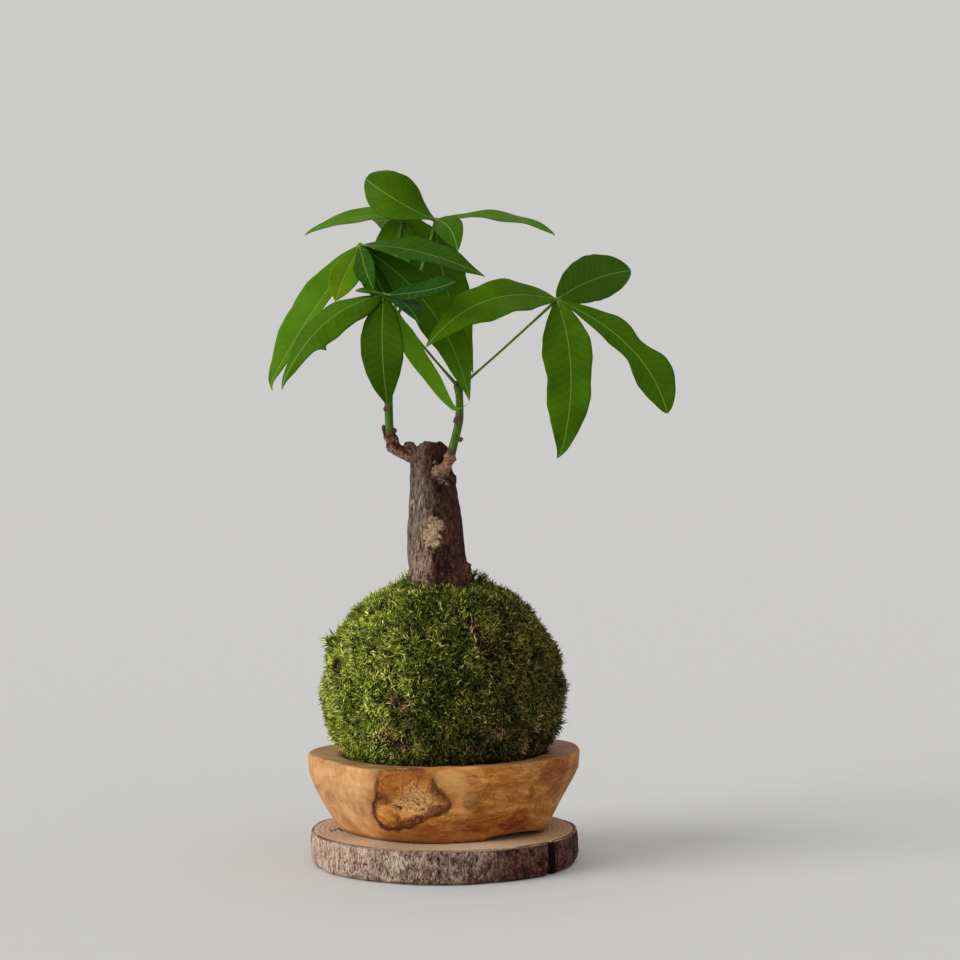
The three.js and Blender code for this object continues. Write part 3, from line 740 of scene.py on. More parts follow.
        colour = recipe.mix(left * 0.72, colour, plain)
        warm = recipe.z.rise(0.036, 0.024) * (1 - left)
        colour = recipe.mix(warm * 0.55, colour, self.foot)
        speckled = recipe.spot((6, -68, 57), (10, 20, 7.5), 0.9, 0.6, 100)
        colour = recipe.mix(speckled * 0.5, colour, self.burr)
        colour = recipe.mix(speckled * burr.rise(0.60, 0.72) * 0.45, colour, self.burr_eye)
        for centre, reach, strength in self.stains:
            mark = recipe.spot(centre, reach, 0.6, 0.65, 120)
            stain = recipe.mix((fibre * 0.5 + grain * 0.5).rise(0.40, 0.60), self.rust, self.rust_light)
            colour = recipe.mix(mark * strength, colour, stain)
        blob = recipe.spot((16.5, -66, 45.5), (4.6, 14, 6.4), 0.7, 1.2, 70)
        halo = recipe.spot((13.4, -66, 45.6), (6.2, 14, 7.6), 0.7, 1.2, 70)
        colour = recipe.mix(halo * 0.5, colour, self.halo)
        dusky = recipe.mix((grain * 0.6 + fibre * 0.4).rise(0.42, 0.58), *self.dusky)
        colour = recipe.mix(blob * 0.75, colour, dusky)
        colour = recipe.mix(knot.rise(-0.6, 1.0), colour, self.knot_wood(recipe, burr))
        strong = 0.15
        for centre, reach, strength in self.rims:
            strong = recipe.spot(centre, reach, 0.9, 0.5, 90) * strength + strong
        edge = knot.rise(-1.5, 0.3) * knot.rise(3.4, 0.6) * recipe.math("MINIMUM", strong, 1.0)
        colour = recipe.mix(edge, colour, recipe.mix(burr, self.umber, self.knot_edge))
        normal = recipe.node("ShaderNodeNewGeometry", output="Normal")
        top = recipe.node("ShaderNodeSeparateXYZ", values={"Vector": normal}, output=2)
        lid = top.rise(0.7, 0.93) * recipe.z.rise(0.06, 0.064)
        bands = recipe.noise(230, 3, 0.6, 0.6, at=recipe.stretched((0.25, 1, 1)))
        # the rim's top: a darker banded colour, darker still to the right
        rim_top_bands = recipe.ramp(
            bands * 0.7 + burr * 0.3, (0.40, (0.22, 0.108, 0.038)), (0.60, (0.50, 0.305, 0.140))
        )
        rim_top_bands = recipe.tint(rim_top_bands, (0.80, 0.62, 0.42), recipe.x.rise(0.045, 0.075))
        colour = recipe.mix(lid * 0.75, colour, rim_top_bands)
        height = fibre * 0.35 + grain * 0.4 + burr * knot.rise(0, 2) * 0.6 - edge * 0.8
        shine = 0.50 + fibre * 0.16 + edge * 0.15
        bumped = recipe.bump(height, 0.7, 0.7)
        return recipe.surface(Base_Color=colour, Roughness=shine, Specular_IOR_Level=0.18, Normal=bumped)


@dataclass(frozen=True)
class SliceFinish:
    """Log slice: pale rings on top, a dark line under the bark, and flaky pinkish to plum-brown bark, darkened
    to the right with painted shade.
    """

    wood: Colour = (0.74, 0.57, 0.405)
    ring: Colour = (0.52, 0.375, 0.250)
    crack: Colour = (0.035, 0.016, 0.010)
    chipped: Colour = (0.64, 0.52, 0.40)
    # The cut bark's edge, dark and light, and the line inside it.
    edge: tuple[Colour, Colour] = ((0.20, 0.130, 0.090), (0.50, 0.38, 0.28))
    cambium: Colour = (0.060, 0.028, 0.016)
    # Near-black painted shade inside the bark's notch.
    notch: Colour = (0.006, 0.002, 0.002)
    # The bark's cracks, skin and flakes at the left, in the middle and at the right, and the ramps' stops. The
    # near-black plum set at the right is partly painted shade.
    shades: tuple[tuple[Colour, Colour, Colour], ...] = (
        ((0.075, 0.042, 0.030), (0.36, 0.235, 0.17), (0.70, 0.53, 0.41)),
        ((0.018, 0.009, 0.007), (0.16, 0.092, 0.066), (0.50, 0.35, 0.26)),
        ((0.004, 0.0015, 0.0015), (0.046, 0.014, 0.011), (0.20, 0.088, 0.062)),
    )
    shade_stops: tuple[float, float, float] = (0.44, 0.53, 0.615)
    # Where pale flakes have chipped off: middle and reach.
    chips: tuple[tuple[Triple, Triple], ...] = (
        ((-26, -78, 13), (8, 12, 4.5)), ((-31, -77, 3.5), (7, 12, 2.6)), ((-70, -40, 5), (8, 9, 3)),
    )

    def bark(self, recipe: Recipe, share: Signal) -> Signal:
        """Colour of the bark, light at the left and dark at the right, where its own colour is deepened with
        painted shade.

        Args:
            recipe: Recipe that gets the nodes.
            share: Flecks of the bark, dark to light.

        Returns:
            The colour.
        """
        light, grey, plum = (recipe.ramp(share, *zip(self.shade_stops, shade)) for shade in self.shades)
        place = recipe.x + (recipe.noise(60, 3) - 0.5) * 0.06
        colour = recipe.mix(place.rise(-0.058, -0.022), light, grey)
        # painted shade: the bark turns near-black plum to the right
        return recipe.mix(place.rise(0.005, 0.040), colour, plum)

    def material(self) -> bpy.types.Material:
        """Make the material, which reads the depth in from the bark off the slice's own attribute.

        Returns:
            The material.
        """
        recipe = Recipe("log_slice")
        depth = recipe.node("ShaderNodeAttribute", {"attribute_name": "depth"}, output="Fac")
        wobble = recipe.noise(22, 3, 0.5) * 5
        ring = (depth * 2.1 + wobble).sine() * 0.5 + 0.5
        fine = recipe.noise(700, 4, 0.7)
        top = recipe.mix(ring.rise(0.35, 1.0) * 0.6, self.wood, self.ring)
        top = recipe.tint(top, recipe.ramp(fine, (0.36, (0.62, 0.58, 0.54)), (0.60, (1.08, 1.08, 1.08))))
        heart = recipe.noise(16, 2, 0.5)
        top = recipe.tint(top, recipe.ramp(heart, (0.35, (0.82, 0.74, 0.68)), (0.65, (1.05, 1.03, 1.0))))
        bend = (recipe.x * 967 + 63.3).sine() * 0.0040 - 0.0076
        length = recipe.x.rise(-0.0705, -0.0672) * recipe.x.rise(-0.0595, -0.0610)
        crack = abs(recipe.y - bend + (fine - 0.5) * 0.002).rise(0.0034, 0.0014) * length
        top = recipe.mix(crack * 0.9, top, self.crack)
        # painted shade: the top darkens to the right
        top = recipe.tint(top, (0.78, 0.66, 0.54), recipe.x.rise(0.020, 0.066))
        upright = recipe.stretched((1, 1, 0.42))
        fibre = recipe.noise(760, 6, 0.76, 0.8, at=upright)
        flake = recipe.noise(150, 4, 0.64, 0.8, at=recipe.stretched((1, 1, 0.6)))
        bark = self.bark(recipe, fibre * 0.80 + flake * 0.30)
        for centre, reach in self.chips:
            chip = recipe.spot(centre, reach, 0.6, 0.7, 260) * fibre.rise(0.40, 0.56)
            bark = recipe.mix(chip * 0.7, bark, self.chipped)
        rim = depth.rise(2.1, 1.5)
        cambium = depth.rise(2.9, 2.2) * depth.rise(1.1, 1.6)
        top = recipe.mix(rim, top, recipe.mix(fine, *self.edge))
        front = recipe.y.rise(-0.060, -0.074) * recipe.x.rise(-0.066, -0.045)
        top = recipe.mix(cambium * (0.88 - front * 0.42), top, self.cambium)
        side = depth.rise(0.9, 0.5)
        colour = recipe.mix(side, top, bark)
        # painted shade: near-black inside the notch
        notch = recipe.spot((64.6, -48.6, 10), (2.9, 6, 14), 0.4, 0.3, 300)
        colour = recipe.mix(notch * side * 0.92, colour, self.notch)
        height = (fibre * 0.9 + flake * 0.6) * side + ring * depth.rise(1.0, 4.0) * 0.06
        bumped = recipe.bump(height, 1.7, 0.9)
        return recipe.surface(Base_Color=colour, Roughness=0.85, Specular_IOR_Level=0.1, Normal=bumped)


def soil_material() -> bpy.types.Material:
    """Dark crumbly soil of the core.

    Returns:
        The material.
    """
    recipe = Recipe("soil_crumb")
    crumb = recipe.noise(600, 5, 0.7)
    colour = recipe.ramp(crumb, (0.3, (0.012, 0.007, 0.004)), (0.7, (0.09, 0.05, 0.03)))
    return recipe.surface(Base_Color=colour, Roughness=0.95, Normal=recipe.bump(crumb, 1.5))


# ----------------------------------------------------------------------------------------------------------
# Shared mesh work
# ----------------------------------------------------------------------------------------------------------


def mesh_of(bm: bmesh.types.BMesh, name: str, outward: bool = True) -> bpy.types.Mesh:
    """Turn a bmesh into a mesh and free it.

    Args:
        bm: The bmesh.
        name: The mesh's name.
        outward: Whether its faces are turned outwards first.

    Returns:
        The mesh.
    """
    if outward:
        bmesh.ops.recalc_face_normals(bm, faces=bm.faces)
    mesh = bpy.data.meshes.new(name)
    bm.to_mesh(mesh)
    bm.free()
    mesh.shade_smooth()
    return mesh


def piece(mesh: bpy.types.Mesh, finish: bpy.types.Material, slot: Slot, *nodes: str) -> bpy.types.Object:
    """Make a mesh a piece of the plant.

    Args:
        mesh: The mesh, in place.
        finish: Its material.
        slot: The record's slot that the finish belongs to. It is not used.
        nodes: CAD nodes that the piece stands for.

    Returns:
        The piece, riding on the row's one body.
    """
    made = bpy.data.objects.new(mesh.name, mesh)
    bpy.context.scene.collection.objects.link(made)
    mesh.materials.append(finish)
    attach(made, "root")
    if nodes:
        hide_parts(*nodes)
    log.info("%s: %d faces", made.name, len(mesh.polygons))
    return made


def applied(made: bpy.types.Object) -> None:
    """Apply a piece's modifiers to its mesh.

    Args:
        made: The piece.
    """
    evaluated = made.evaluated_get(bpy.context.evaluated_depsgraph_get())
    mesh = bpy.data.meshes.new_from_object(evaluated)
    made.modifiers.clear()
    mesh.name = made.name
    made.data = mesh


def turned(rows: int, steps: int, place: Callable[[float, float], Triple]) -> bmesh.types.BMesh:
    """Spin a closed skin round Z and move each of its vertices.

    Args:
        rows: How many rows it has between its two poles.
        steps: How many columns it has.
        place: Gives a vertex's place in millimetres from its share of the way, 0 to 1, and its angle.

    Returns:
        The skin, in metres.
    """
    bm = bmesh.new()
    last = rows + 1
    line = [bm.verts.new((0.0 if row in (0, last) else 1.0, 0.0, row / last)) for row in range(rows + 2)]
    edges = [bm.edges.new(pair) for pair in zip(line, line[1:])]
    bmesh.ops.spin(
        bm, geom=line + edges, cent=(0, 0, 0), axis=(0, 0, 1), angle=FULL_TURN, steps=steps, use_merge=True
    )
    bmesh.ops.remove_doubles(bm, verts=bm.verts, dist=1e-6)
    for vert in bm.verts:
        vert.co = Vector(place(vert.co.z, math.atan2(vert.co.y, vert.co.x))) * MM
    return bm


def smooth_path(points: Sequence[Triple], steps: int) -> list[Vector]:
    """A smooth line through points.

    Args:
        points: The points it passes.
        steps: Stretches between each pair.

    Returns:
        The line's points.
    """
    ends = [Vector(p) for p in points]
    ends = [ends[0] * 2 - ends[1], *ends, ends[-1] * 2 - ends[-2]]
    line = []
    for a, b, c, d in zip(ends, ends[1:], ends[2:], ends[3:]):
        square, cube = 2 * a - 5 * b + 4 * c - d, 3 * b - a - 3 * c + d
        for step in range(steps):
            t = step / steps
            line.append(0.5 * (2 * b + (c - a) * t + square * t * t + cube * t**3))
    return [*line, ends[-2]]


def frames_along(line: Sequence[Vector], radii: Sequence[float]) -> list[Matrix]:
    """Frames whose Z runs along a line, without twist.

    Args:
        line: The line's points.
        radii: The scale of each frame's X and Y.

    Returns:
        A matrix for each point.
    """
    frames, side = [], None
    for i, spot in enumerate(line):
        along = (line[min(i + 1, len(line) - 1)] - line[max(i - 1, 0)]).normalized()
        side = side or along.orthogonal()
        side = (side - along * side.dot(along)).normalized()
        turn = Matrix((side, along.cross(side), along)).transposed().to_4x4()
        frames.append(Matrix.Translation(spot) @ turn @ Matrix.Diagonal((radii[i], radii[i], 1, 1)))
    return frames


def add_tube(bm: bmesh.types.BMesh, line: Sequence[Vector], radii: Sequence[float], sides: int = 12) -> None:
    """Add a round closed bar along a line, in millimetres.

    Args:
        bm: Where it goes.
        line: The line's points.
        radii: Its radius at each.
        sides: Its sides.
    """
    frames = frames_along(line, radii)
    ring = bmesh.ops.create_circle(bm, cap_ends=True, segments=sides, radius=1, matrix=frames[0])["verts"]
    edges = list({edge for vert in ring for edge in vert.link_edges})
    for before, after in zip(frames, frames[1:]):
        made = bmesh.ops.extrude_edge_only(bm, edges=edges)["geom"]
        ring = [item for item in made if isinstance(item, bmesh.types.BMVert)]
        edges = [item for item in made if isinstance(item, bmesh.types.BMEdge)]
        bmesh.ops.transform(bm, matrix=after @ before.inverted(), verts=ring)
    bmesh.ops.contextual_create(bm, geom=edges)


def add_knob(bm: bmesh.types.BMesh, centre: Triple, radius: float, rough: float) -> None:
    """Add a knob, such as a bud or a leaf's hub, in millimetres.

    Args:
        bm: Where it goes.
        centre: Its middle.
        radius: Its radius.
        rough: How far its surface wanders, as a share of the radius.
    """
    place = Matrix.Translation(centre)
    made = bmesh.ops.create_icosphere(bm, subdivisions=3, radius=radius, matrix=place)
    for vert in made["verts"]:
        away = vert.co - Vector(centre)
        vert.co += away * (rough * noise.noise(vert.co * 0.55))


def drift(spot: Vector, scale: float, seed: float = 0.0) -> float:
    """Smooth noise.

    Args:
        spot: Where, in millimetres.
        scale: Size of its cells.
        seed: Shift that picks another pattern.

    Returns:
        A value from -1 to 1.
    """
    return noise.noise(spot / scale + Vector((seed, seed * 0.7, -seed)))


def smoothstep(value: float, low: float, high: float) -> float:
    """Smooth step of a value from 0 at low to 1 at high."""
    share = min(1.0, max(0.0, (value - low) / (high - low)))
    return share * share * (3 - 2 * share)


def between(table: Sequence[Sequence[float]], key: float, column: int = 1) -> float:
    """Value at a key in rows of (key, value, ...), straight between them."""
    return float(np.interp(key, [row[0] for row in table], [row[column] for row in table]))


def outline_radius(outline: Sequence[tuple[float, float]], degrees: float) -> float:
    """Radius of a closed outline.

    Args:
        outline: Its (degrees, radius) entries.
        degrees: Angle from +X.

    Returns:
        The radius there, smooth through the entries.
    """
    count = len(outline)
    turn = (degrees - outline[0][0]) % 360 + outline[0][0]
    start = max(i for i in range(count) if outline[i][0] <= turn + 1e-9)
    span = (outline[(start + 1) % count][0] - outline[start][0]) % 360
    t = (turn - outline[start][0]) / span
    r0, r1, r2, r3 = (outline[(start + k) % count][1] for k in (-1, 0, 1, 2))
    rise, fall = (r2 - r0) / 2, (r3 - r1) / 2
    return (
        (2 * t**3 - 3 * t**2 + 1) * r1 + (t**3 - 2 * t**2 + t) * rise
        + (3 * t**2 - 2 * t**3) * r2 + (t**3 - t**2) * fall
    )


# ----------------------------------------------------------------------------------------------------------
# Log slice and bowl
# ----------------------------------------------------------------------------------------------------------


@dataclass
class LogSlice:
    """The bark-edged slice that the bowl stands on."""

    radius: float = 81.0
    height: float = 20.0
    edge_height: float = 19.2  # where the top begins
    notch_angle: float = -37.0
    notch_half_width: float = 3.2
    notch_depth: float = 3.5
    steps: int = 480
    # Section from the middle of the underside to the middle of the top: share, inset and height.
    section: tuple[tuple[float, float, float], ...] = (
        (0.0, -81, 0), (0.12, -2.4, 0), (0.17, -0.5, 1.6), (0.25, 0.3, 5), (0.45, 0.2, 12), (0.60, 0, 18.4),
        (0.64, -0.7, 19.7), (0.68, -1.6, 20), (0.80, -7, 20), (1.0, -81, 20),
    )

    def place(self, share: float, angle: float) -> Triple:
        """Where a vertex of the slice lies.

        Args:
            share: Its share of the way along the section.
            angle: Its angle round Z.

        Returns:
            Its place in millimetres.
        """
        radius = self.radius + between(self.section, share)
        z = between(self.section, share, 2)
        swell = 0.7 * math.sin(3 * angle + 0.8) + 0.5 * math.sin(7 * angle)
        swell += 0.35 * math.sin(17 * angle + z / 5)
        spot = Vector((self.radius * math.cos(angle), self.radius * math.sin(angle), z * 0.2))
        bark = smoothstep(share, 0.08, 0.17) * smoothstep(share, 0.70, 0.64)
        fibre = 0.55 * drift(spot, 2.2) + 0.45 * drift(spot, 4.5, 3)
        fibre += 0.3 * drift(spot + Vector((0, 0, 2 * z)), 2, 9)
        off = math.remainder(angle - math.radians(self.notch_angle), FULL_TURN) * self.radius
        away = abs(off + 0.4 * drift(Vector((0, 0, z)), 3, 5))
        notch = self.notch_depth * smoothstep(away, self.notch_half_width + 0.5, self.notch_half_width - 0.9)
        outer = smoothstep(share, 0.02, 0.12) * smoothstep(share, 0.86, 0.74)
        radius += outer * swell + bark * (fibre + 0.15) - notch * outer
        low = 0.5 * smoothstep(share, 0.10, 0.17) * max(0.0, drift(spot, 5, 20)) * smoothstep(z, 6, 0)
        if share > 0.66:
            low -= 0.12 * drift(Vector((radius * math.cos(angle), radius * math.sin(angle), 0)), 14, 8) - 0.1
            z = min(z, self.height)
        return radius * math.cos(angle), radius * math.sin(angle), min(z + low, self.height + 0.05)

    def build(self) -> bpy.types.Object:
        """Make the slice and mark how far in from the bark each place on its top is.

        Returns:
            The piece.
        """
        bm = turned(58, self.steps, self.place)
        depth = bm.verts.layers.float.new("depth")
        for vert in bm.verts:
            inward = self.radius - vert.co.to_2d().length / MM
            vert[depth] = max(0.0, inward + 0.6) if vert.co.z > self.edge_height * MM else 0.0
        return piece(mesh_of(bm, "log_slice"), SliceFinish().material(), Slot.SLICE, "wood_slice")


@dataclass
class Bowl:
    """The carved root-wood bowl, with the knot on its front."""

    floor: float = 20.3
    rim: float = 67.0
    knee: float = 0.76
    steps: int = 500
    # Shares of the skin's way where the underside, the outside wall and the rim end.
    under_share: float = 0.07
    wall_share: float = 0.80
    rim_share: float = 0.86
    # The hollow that the ball sits in.
    seat_radius: float = 74.8
    seat_half_height: float = 70.8
    ball_centre: float = 105.5
    rim_outline: tuple[tuple[float, float], ...] = (
        (3, 84), (30, 88), (45, 83), (75, 75), (122, 73), (160, 83), (183, 83), (207, 76),
        (231, 81), (241, 85), (250, 77), (268, 67.5), (292, 71), (311, 76), (325, 77), (345, 80),
    )
    foot_outline: tuple[tuple[float, float], ...] = (
        (0, 62), (45, 60), (100, 56), (150, 58), (190, 61.5), (223, 59.5), (260, 60.5), (293, 57), (315, 62),
        (335, 65),
    )
    # The knot's outline on the bowl's front, as x and height.
    knot: tuple[tuple[float, float], ...] = (
        (-34.8, 64.8), (-37.4, 58.9), (-38, 53.5), (-37.4, 48.7), (-39.6, 44.4), (-40.1, 38), (-37.4, 33.7),
        (-34.8, 30), (-30.5, 28.4), (-23, 28.7), (-17.6, 30), (-12.3, 32.7), (-6.9, 35.4), (1.3, 38.6),
        (5, 41.8), (5.6, 45), (2.4, 50.3), (-0.8, 53), (-2.6, 56.8), (-5.3, 60.5), (-8, 63.2), (-12.3, 65.5),
        (-21.4, 66.5),
    )

    def knot_depth(self, x: float, z: float) -> float:
        """How far inside the knot's outline a place on the front is.

        Args:
            x: The place's x in millimetres.
            z: Its height in millimetres.

        Returns:
            Millimetres to the outline, negative outside it.
        """
        inside, nearest = False, 1e9
        for (x0, z0), (x1, z1) in zip(self.knot, self.knot[1:] + self.knot[:1]):
            dx, dz = x1 - x0, z1 - z0
            t = min(1.0, max(0.0, ((x - x0) * dx + (z - z0) * dz) / (dx * dx + dz * dz)))
            nearest = min(nearest, math.hypot(x - x0 - t * dx, z - z0 - t * dz))
            if (z0 > z) != (z1 > z) and x < dx * (z - z0) / dz + x0:
                inside = not inside
        return nearest if inside else -nearest

    def foot_lift(self, degrees: float) -> float:
        """Height of the foot's rough edge above the slice."""
        share = (degrees - 296) / 46
        return 3.6 * math.sin(math.pi * share) ** 0.6 if 0 < share < 1 else 0.0

    def outside(self, share: float, degrees: float) -> tuple[float, float]:
        """Outside of the wall.

        Args:
            share: Share of the wall's height.
            degrees: Angle from +X.

        Returns:
            Radius and height in millimetres.
        """
        foot, rim = outline_radius(self.foot_outline, degrees), outline_radius(self.rim_outline, degrees)
        flare = 0.87 + 0.13 * math.cos(math.radians(degrees))
        reach = min(1.0, share / self.knee)
        reach -= 0.035 * smoothstep(share, 0.55, self.knee) * smoothstep(share, 1.0, self.knee)
        low = self.floor + self.foot_lift(degrees)
        high = self.rim - 1.2 * math.cos(math.radians(degrees - 205))
        return foot + (rim - foot) * max(0.0, reach) ** flare, low + share * (high - low)

    def place(self, share: float, angle: float) -> Triple:
        """Where a vertex of the bowl lies: underside, outside wall, rim, then the hollow.

        Args:
            share: Its share of the way along the skin.
            angle: Its angle round Z.

        Returns:
            Its place in millimetres.
        """
        degrees = math.degrees(angle) % 360
        if share < self.under_share:
            radius, z = self.outside(0.0, degrees)
            radius = (radius - 2.6) * share / self.under_share
            z = self.floor + self.foot_lift(degrees) * smoothstep(share, 0.03, 0.065)
        elif share < self.wall_share:
            t = (share - self.under_share) / (self.wall_share - self.under_share)
            radius, z = self.outside(t, degrees)
            radius -= 2.4 * (1 - min(1.0, t / 0.07)) ** 2 + 1.5 * max(0.0, (t - 0.955) / 0.045) ** 2
        elif share < self.rim_share:
            outer, z = self.outside(1.0, degrees)
            across = (share - self.wall_share) / (self.rim_share - self.wall_share)
            radius = outer - 1.5 + (self.seat_edge(z) - outer + 1.5) * across
        else:
            t = (share - self.rim_share) / (1 - self.rim_share)
            edge = self.outside(1.0, degrees)[1]
            low = math.asin((edge - self.ball_centre) / self.seat_half_height)
            turn = low + (-math.pi / 2 - low) * t
            radius = self.seat_radius * math.cos(turn)
            z = self.ball_centre + self.seat_half_height * math.sin(turn)
        radius, z = self.worn(share, radius, z, angle)
        return radius * math.cos(angle), radius * math.sin(angle), z

    def seat_edge(self, z: float) -> float:
        """Radius of the hollow at a height."""
        return self.seat_radius * math.sqrt(1 - ((z - self.ball_centre) / self.seat_half_height) ** 2)

    def worn(self, share: float, radius: float, z: float, angle: float) -> tuple[float, float]:
        """Lay tool marks, the knot and small dents over the outside and rim.

        Args:
            share: The vertex's share of the way along the skin.
            radius: Its radius on the plain skin, in millimetres.
            z: Its height there.
            angle: Its angle round Z.

        Returns:
            Its radius and height in millimetres.
        """
        spot = Vector((radius * math.cos(angle), radius * math.sin(angle), z))
        if self.under_share <= share < self.wall_share:
            wall = smoothstep(share, self.under_share, 0.11)
            radius += wall * (0.5 * drift(spot, 17) + 0.22 * drift(spot, 6, 4) - 0.2)
            if spot.y < -30:
                depth = self.knot_depth(spot.x, z) + 1.6 * drift(spot, 4, 2)
                groove = math.exp(-((depth - 0.2) / 1.1) ** 2) * (0.55 + 0.45 * drift(spot, 11, 31))
                burr = smoothstep(depth, 0.5, 3) * (0.35 + 0.45 * drift(spot, 2.2, 7))
                radius += burr - 1.0 * groove
        elif self.wall_share <= share < self.rim_share:
            inside = min(1.0, (share - self.wall_share) / 0.01)
            z += inside * (0.35 * drift(spot, 9, 6) + 0.15 * drift(spot, 3, 1) - 0.35)
        return radius, z

    def build(self) -> bpy.types.Object:
        """Make the bowl and mark how deep in the knot each place is.

        Returns:
            The piece.
        """
        bm = turned(118, self.steps, self.place)
        layer = bm.verts.layers.float.new("knot")
        for vert in bm.verts:
            front = vert.co.y < -0.03 and vert.co.to_2d().length > 0.05
            vert[layer] = self.knot_depth(vert.co.x / MM, vert.co.z / MM) if front else -30.0
        return piece(mesh_of(bm, "root_wood_bowl"), RootWoodFinish().material(), Slot.BOWL, "bowl")


# ----------------------------------------------------------------------------------------------------------
# Stump and shoots
# ----------------------------------------------------------------------------------------------------------


@dataclass
class Stump:
    """The cut-back stump, its twigs and its root flare, under one skin of bark."""

    voxel: float = 0.62
    # Silhouette: height, middle in x and radius.
    profile: tuple[tuple[float, float, float], ...] = (
        (128.3, -0.8, 20.4), (173, -0.8, 20.4), (177, -2.2, 18.8), (188, -4, 17.6), (206, -4.7, 16.8),
        (225, -5.8, 14.4), (235, -6.6, 13.4), (244, -8, 12), (250, -7.7, 11), (254, -7.4, 9.6),
        (255.6, -7.3, 7),
    )
    left_twig: tuple[Triple, ...] = ((-9, 0, 245), (-21, -2, 248), (-29.4, -4, 252.4), (-31.6, -4.4, 259.6))
    right_twig: tuple[Triple, ...] = ((-4, -7, 236), (-1, -13, 237), (2.4, -17, 242), (4.9, -19, 248.6))
    dead_stub: tuple[Triple, ...] = ((-30, -3, 252), (-35.2, -0.5, 259.5), (-37, 0.5, 266.6))
    # Knobs: middle, radius and roughness.
    knobs: tuple[tuple[Triple, float, float], ...] = (
        ((-20.6, -2.4, 252), 4.2, 0.5), ((-2, -15, 237), 5, 0.4), ((3, -11, 233), 5.2, 0.4),
        ((12.6, -4, 178.5), 4.8, 0.35), ((-31, -3.4, 254), 4.3, 0.3), ((4.2, -18.4, 246), 3.9, 0.2),
        ((0.5, -15.5, 232.5), 3.2, 0.5), ((-11.5, -6.5, 250.5), 3.2, 0.4), ((-33.8, -1.6, 258), 2.3, 0.4),
        ((-30.2, -4.8, 257.8), 3.1, 0.3), ((9, -12, 175), 5, 0.4), ((-13, -12, 173), 5, 0.4),
    )

    def place(self, share: float, angle: float) -> Triple:
        """Where a vertex of the stump lies before its twigs and bark.

        Args:
            share: Its share of the way from the root end to the top.
            angle: Its angle round the stump.

        Returns:
            Its place in millimetres.
        """
        low, high = self.profile[0][0], self.profile[-1][0]
        z = low + (high - low) * min(1.0, max(0.0, (share - 0.06) / 0.86))
        radius = between(self.profile, z, 2)
        level = max(z, 173.0)
        radius += 0.6 * math.sin(3 * angle + 0.4 + level / 40) + 0.45 * math.sin(5 * angle - level / 30)
        if share < 0.06:
            radius *= share / 0.06
        if share > 0.92:
            radius *= (1 - share) / 0.08
            z += 0.5 * math.sin(math.pi * min(1.0, (1 - share) / 0.08) / 2)
        return between(self.profile, z, 1) + radius * math.cos(angle), radius * math.sin(angle), z

    def bark(self, spot: Vector) -> float:
        """Relief of the bark.

        Args:
            spot: A place on the smooth skin, in millimetres.

        Returns:
            How far the bark rises there, in millimetres.
        """
        if spot.z < 168:
            return 0.0
        if spot.z > 236 and (spot.x < -19 or spot.y < -14.5):
            rings = 0.10 * math.sin(spot.z * 2.6 + 3 * drift(spot, 6)) if spot.y < -14.5 else 0.0
            return rings + 0.3 * drift(spot, 3) + 0.2 * drift(spot, 1.4, 3)
        tall = Vector((spot.x, spot.y, spot.z * 0.28))
        fibre = 0.55 * drift(tall, 2.6) + 0.3 * drift(tall, 1.3, 4) + 0.5 * drift(tall, 6, 8)
        foot = smoothstep(spot.z, 200, 172)
        split = foot * 1.3 * min(0.0, drift(Vector((spot.x, spot.y, spot.z * 0.08)), 4.2, 11))
        top = smoothstep(spot.z, 250, 255) * 0.5 * drift(spot, 3.2, 5)
        scar = math.exp(-(((spot.x + 6.3) / 9.5) ** 4 + ((spot.z - 202) / 10.5) ** 4)) if spot.y < -8 else 0.0
        return (fibre + split + top) * (1 - 0.7 * scar) - 0.8 * scar - 0.15

    def build(self) -> bpy.types.Object:
        """Join the stump, twigs and knobs, and lay bark over them.

        Returns:
            The piece.
        """
        bm = turned(60, 60, self.place)
        bmesh.ops.scale(bm, vec=(1 / MM,) * 3, verts=bm.verts)
        add_tube(bm, smooth_path(self.left_twig, 5), [4.3] * 6 + [3.8] * 5 + [3.5] * 4 + [3.1], 14)
        add_tube(bm, smooth_path(self.right_twig, 5), [3.6] * 6 + [3.4] * 5 + [3.1] * 4 + [2.9], 14)
        add_tube(bm, smooth_path(self.dead_stub, 4), [1.9] * 5 + [1.3] * 3 + [0.8], 10)
        for centre, radius, rough in self.knobs:
            add_knob(bm, centre, radius, rough)
        bmesh.ops.scale(bm, vec=(MM,) * 3, verts=bm.verts)
        made = piece(mesh_of(bm, "stump"), BarkFinish().material(), Slot.BARK, "trunk")
        made.modifiers.new("skin", "REMESH").voxel_size = self.voxel * MM
        applied(made)
        mesh = made.data
        mesh.shade_smooth()
        outward = [vert.normal.copy() for vert in mesh.vertices]
        for vert, normal in zip(mesh.vertices, outward):
            vert.co += normal * (self.bark(vert.co / MM) * MM)
        log.info("stump under bark: %d faces", len(mesh.polygons))
        return made


@dataclass
class Shoot:
    """A green shoot on the end of a twig, with its buds and nodes as knobs and its brown rings."""

    name: str
    node: str
    path: tuple[Triple, ...]
    radii: tuple[float, ...]
    knobs: tuple[tuple[Triple, float], ...]
    rings: tuple[tuple[Triple, Triple], ...]

    def build(self) -> bpy.types.Object:
        """Make the shoot.

        Returns:
            The piece.
        """
        bm = bmesh.new()
        line = smooth_path(self.path, 12)
        marks = np.linspace(0, 1, len(self.radii))
        radii = [
            float(np.interp(i / (len(line) - 1), marks, self.radii)) * (1 + 0.035 * drift(spot, 5))
            for i, spot in enumerate(line)
        ]
        add_tube(bm, line, radii, 18)
        for centre, radius in self.knobs:
            add_knob(bm, centre, radius, 0.25)
        bmesh.ops.scale(bm, vec=(MM,) * 3, verts=bm.verts)
        finish = StemFinish(self.name + "_skin", rings=self.rings).material()
        return piece(mesh_of(bm, self.name), finish, Slot.STEM, self.node)


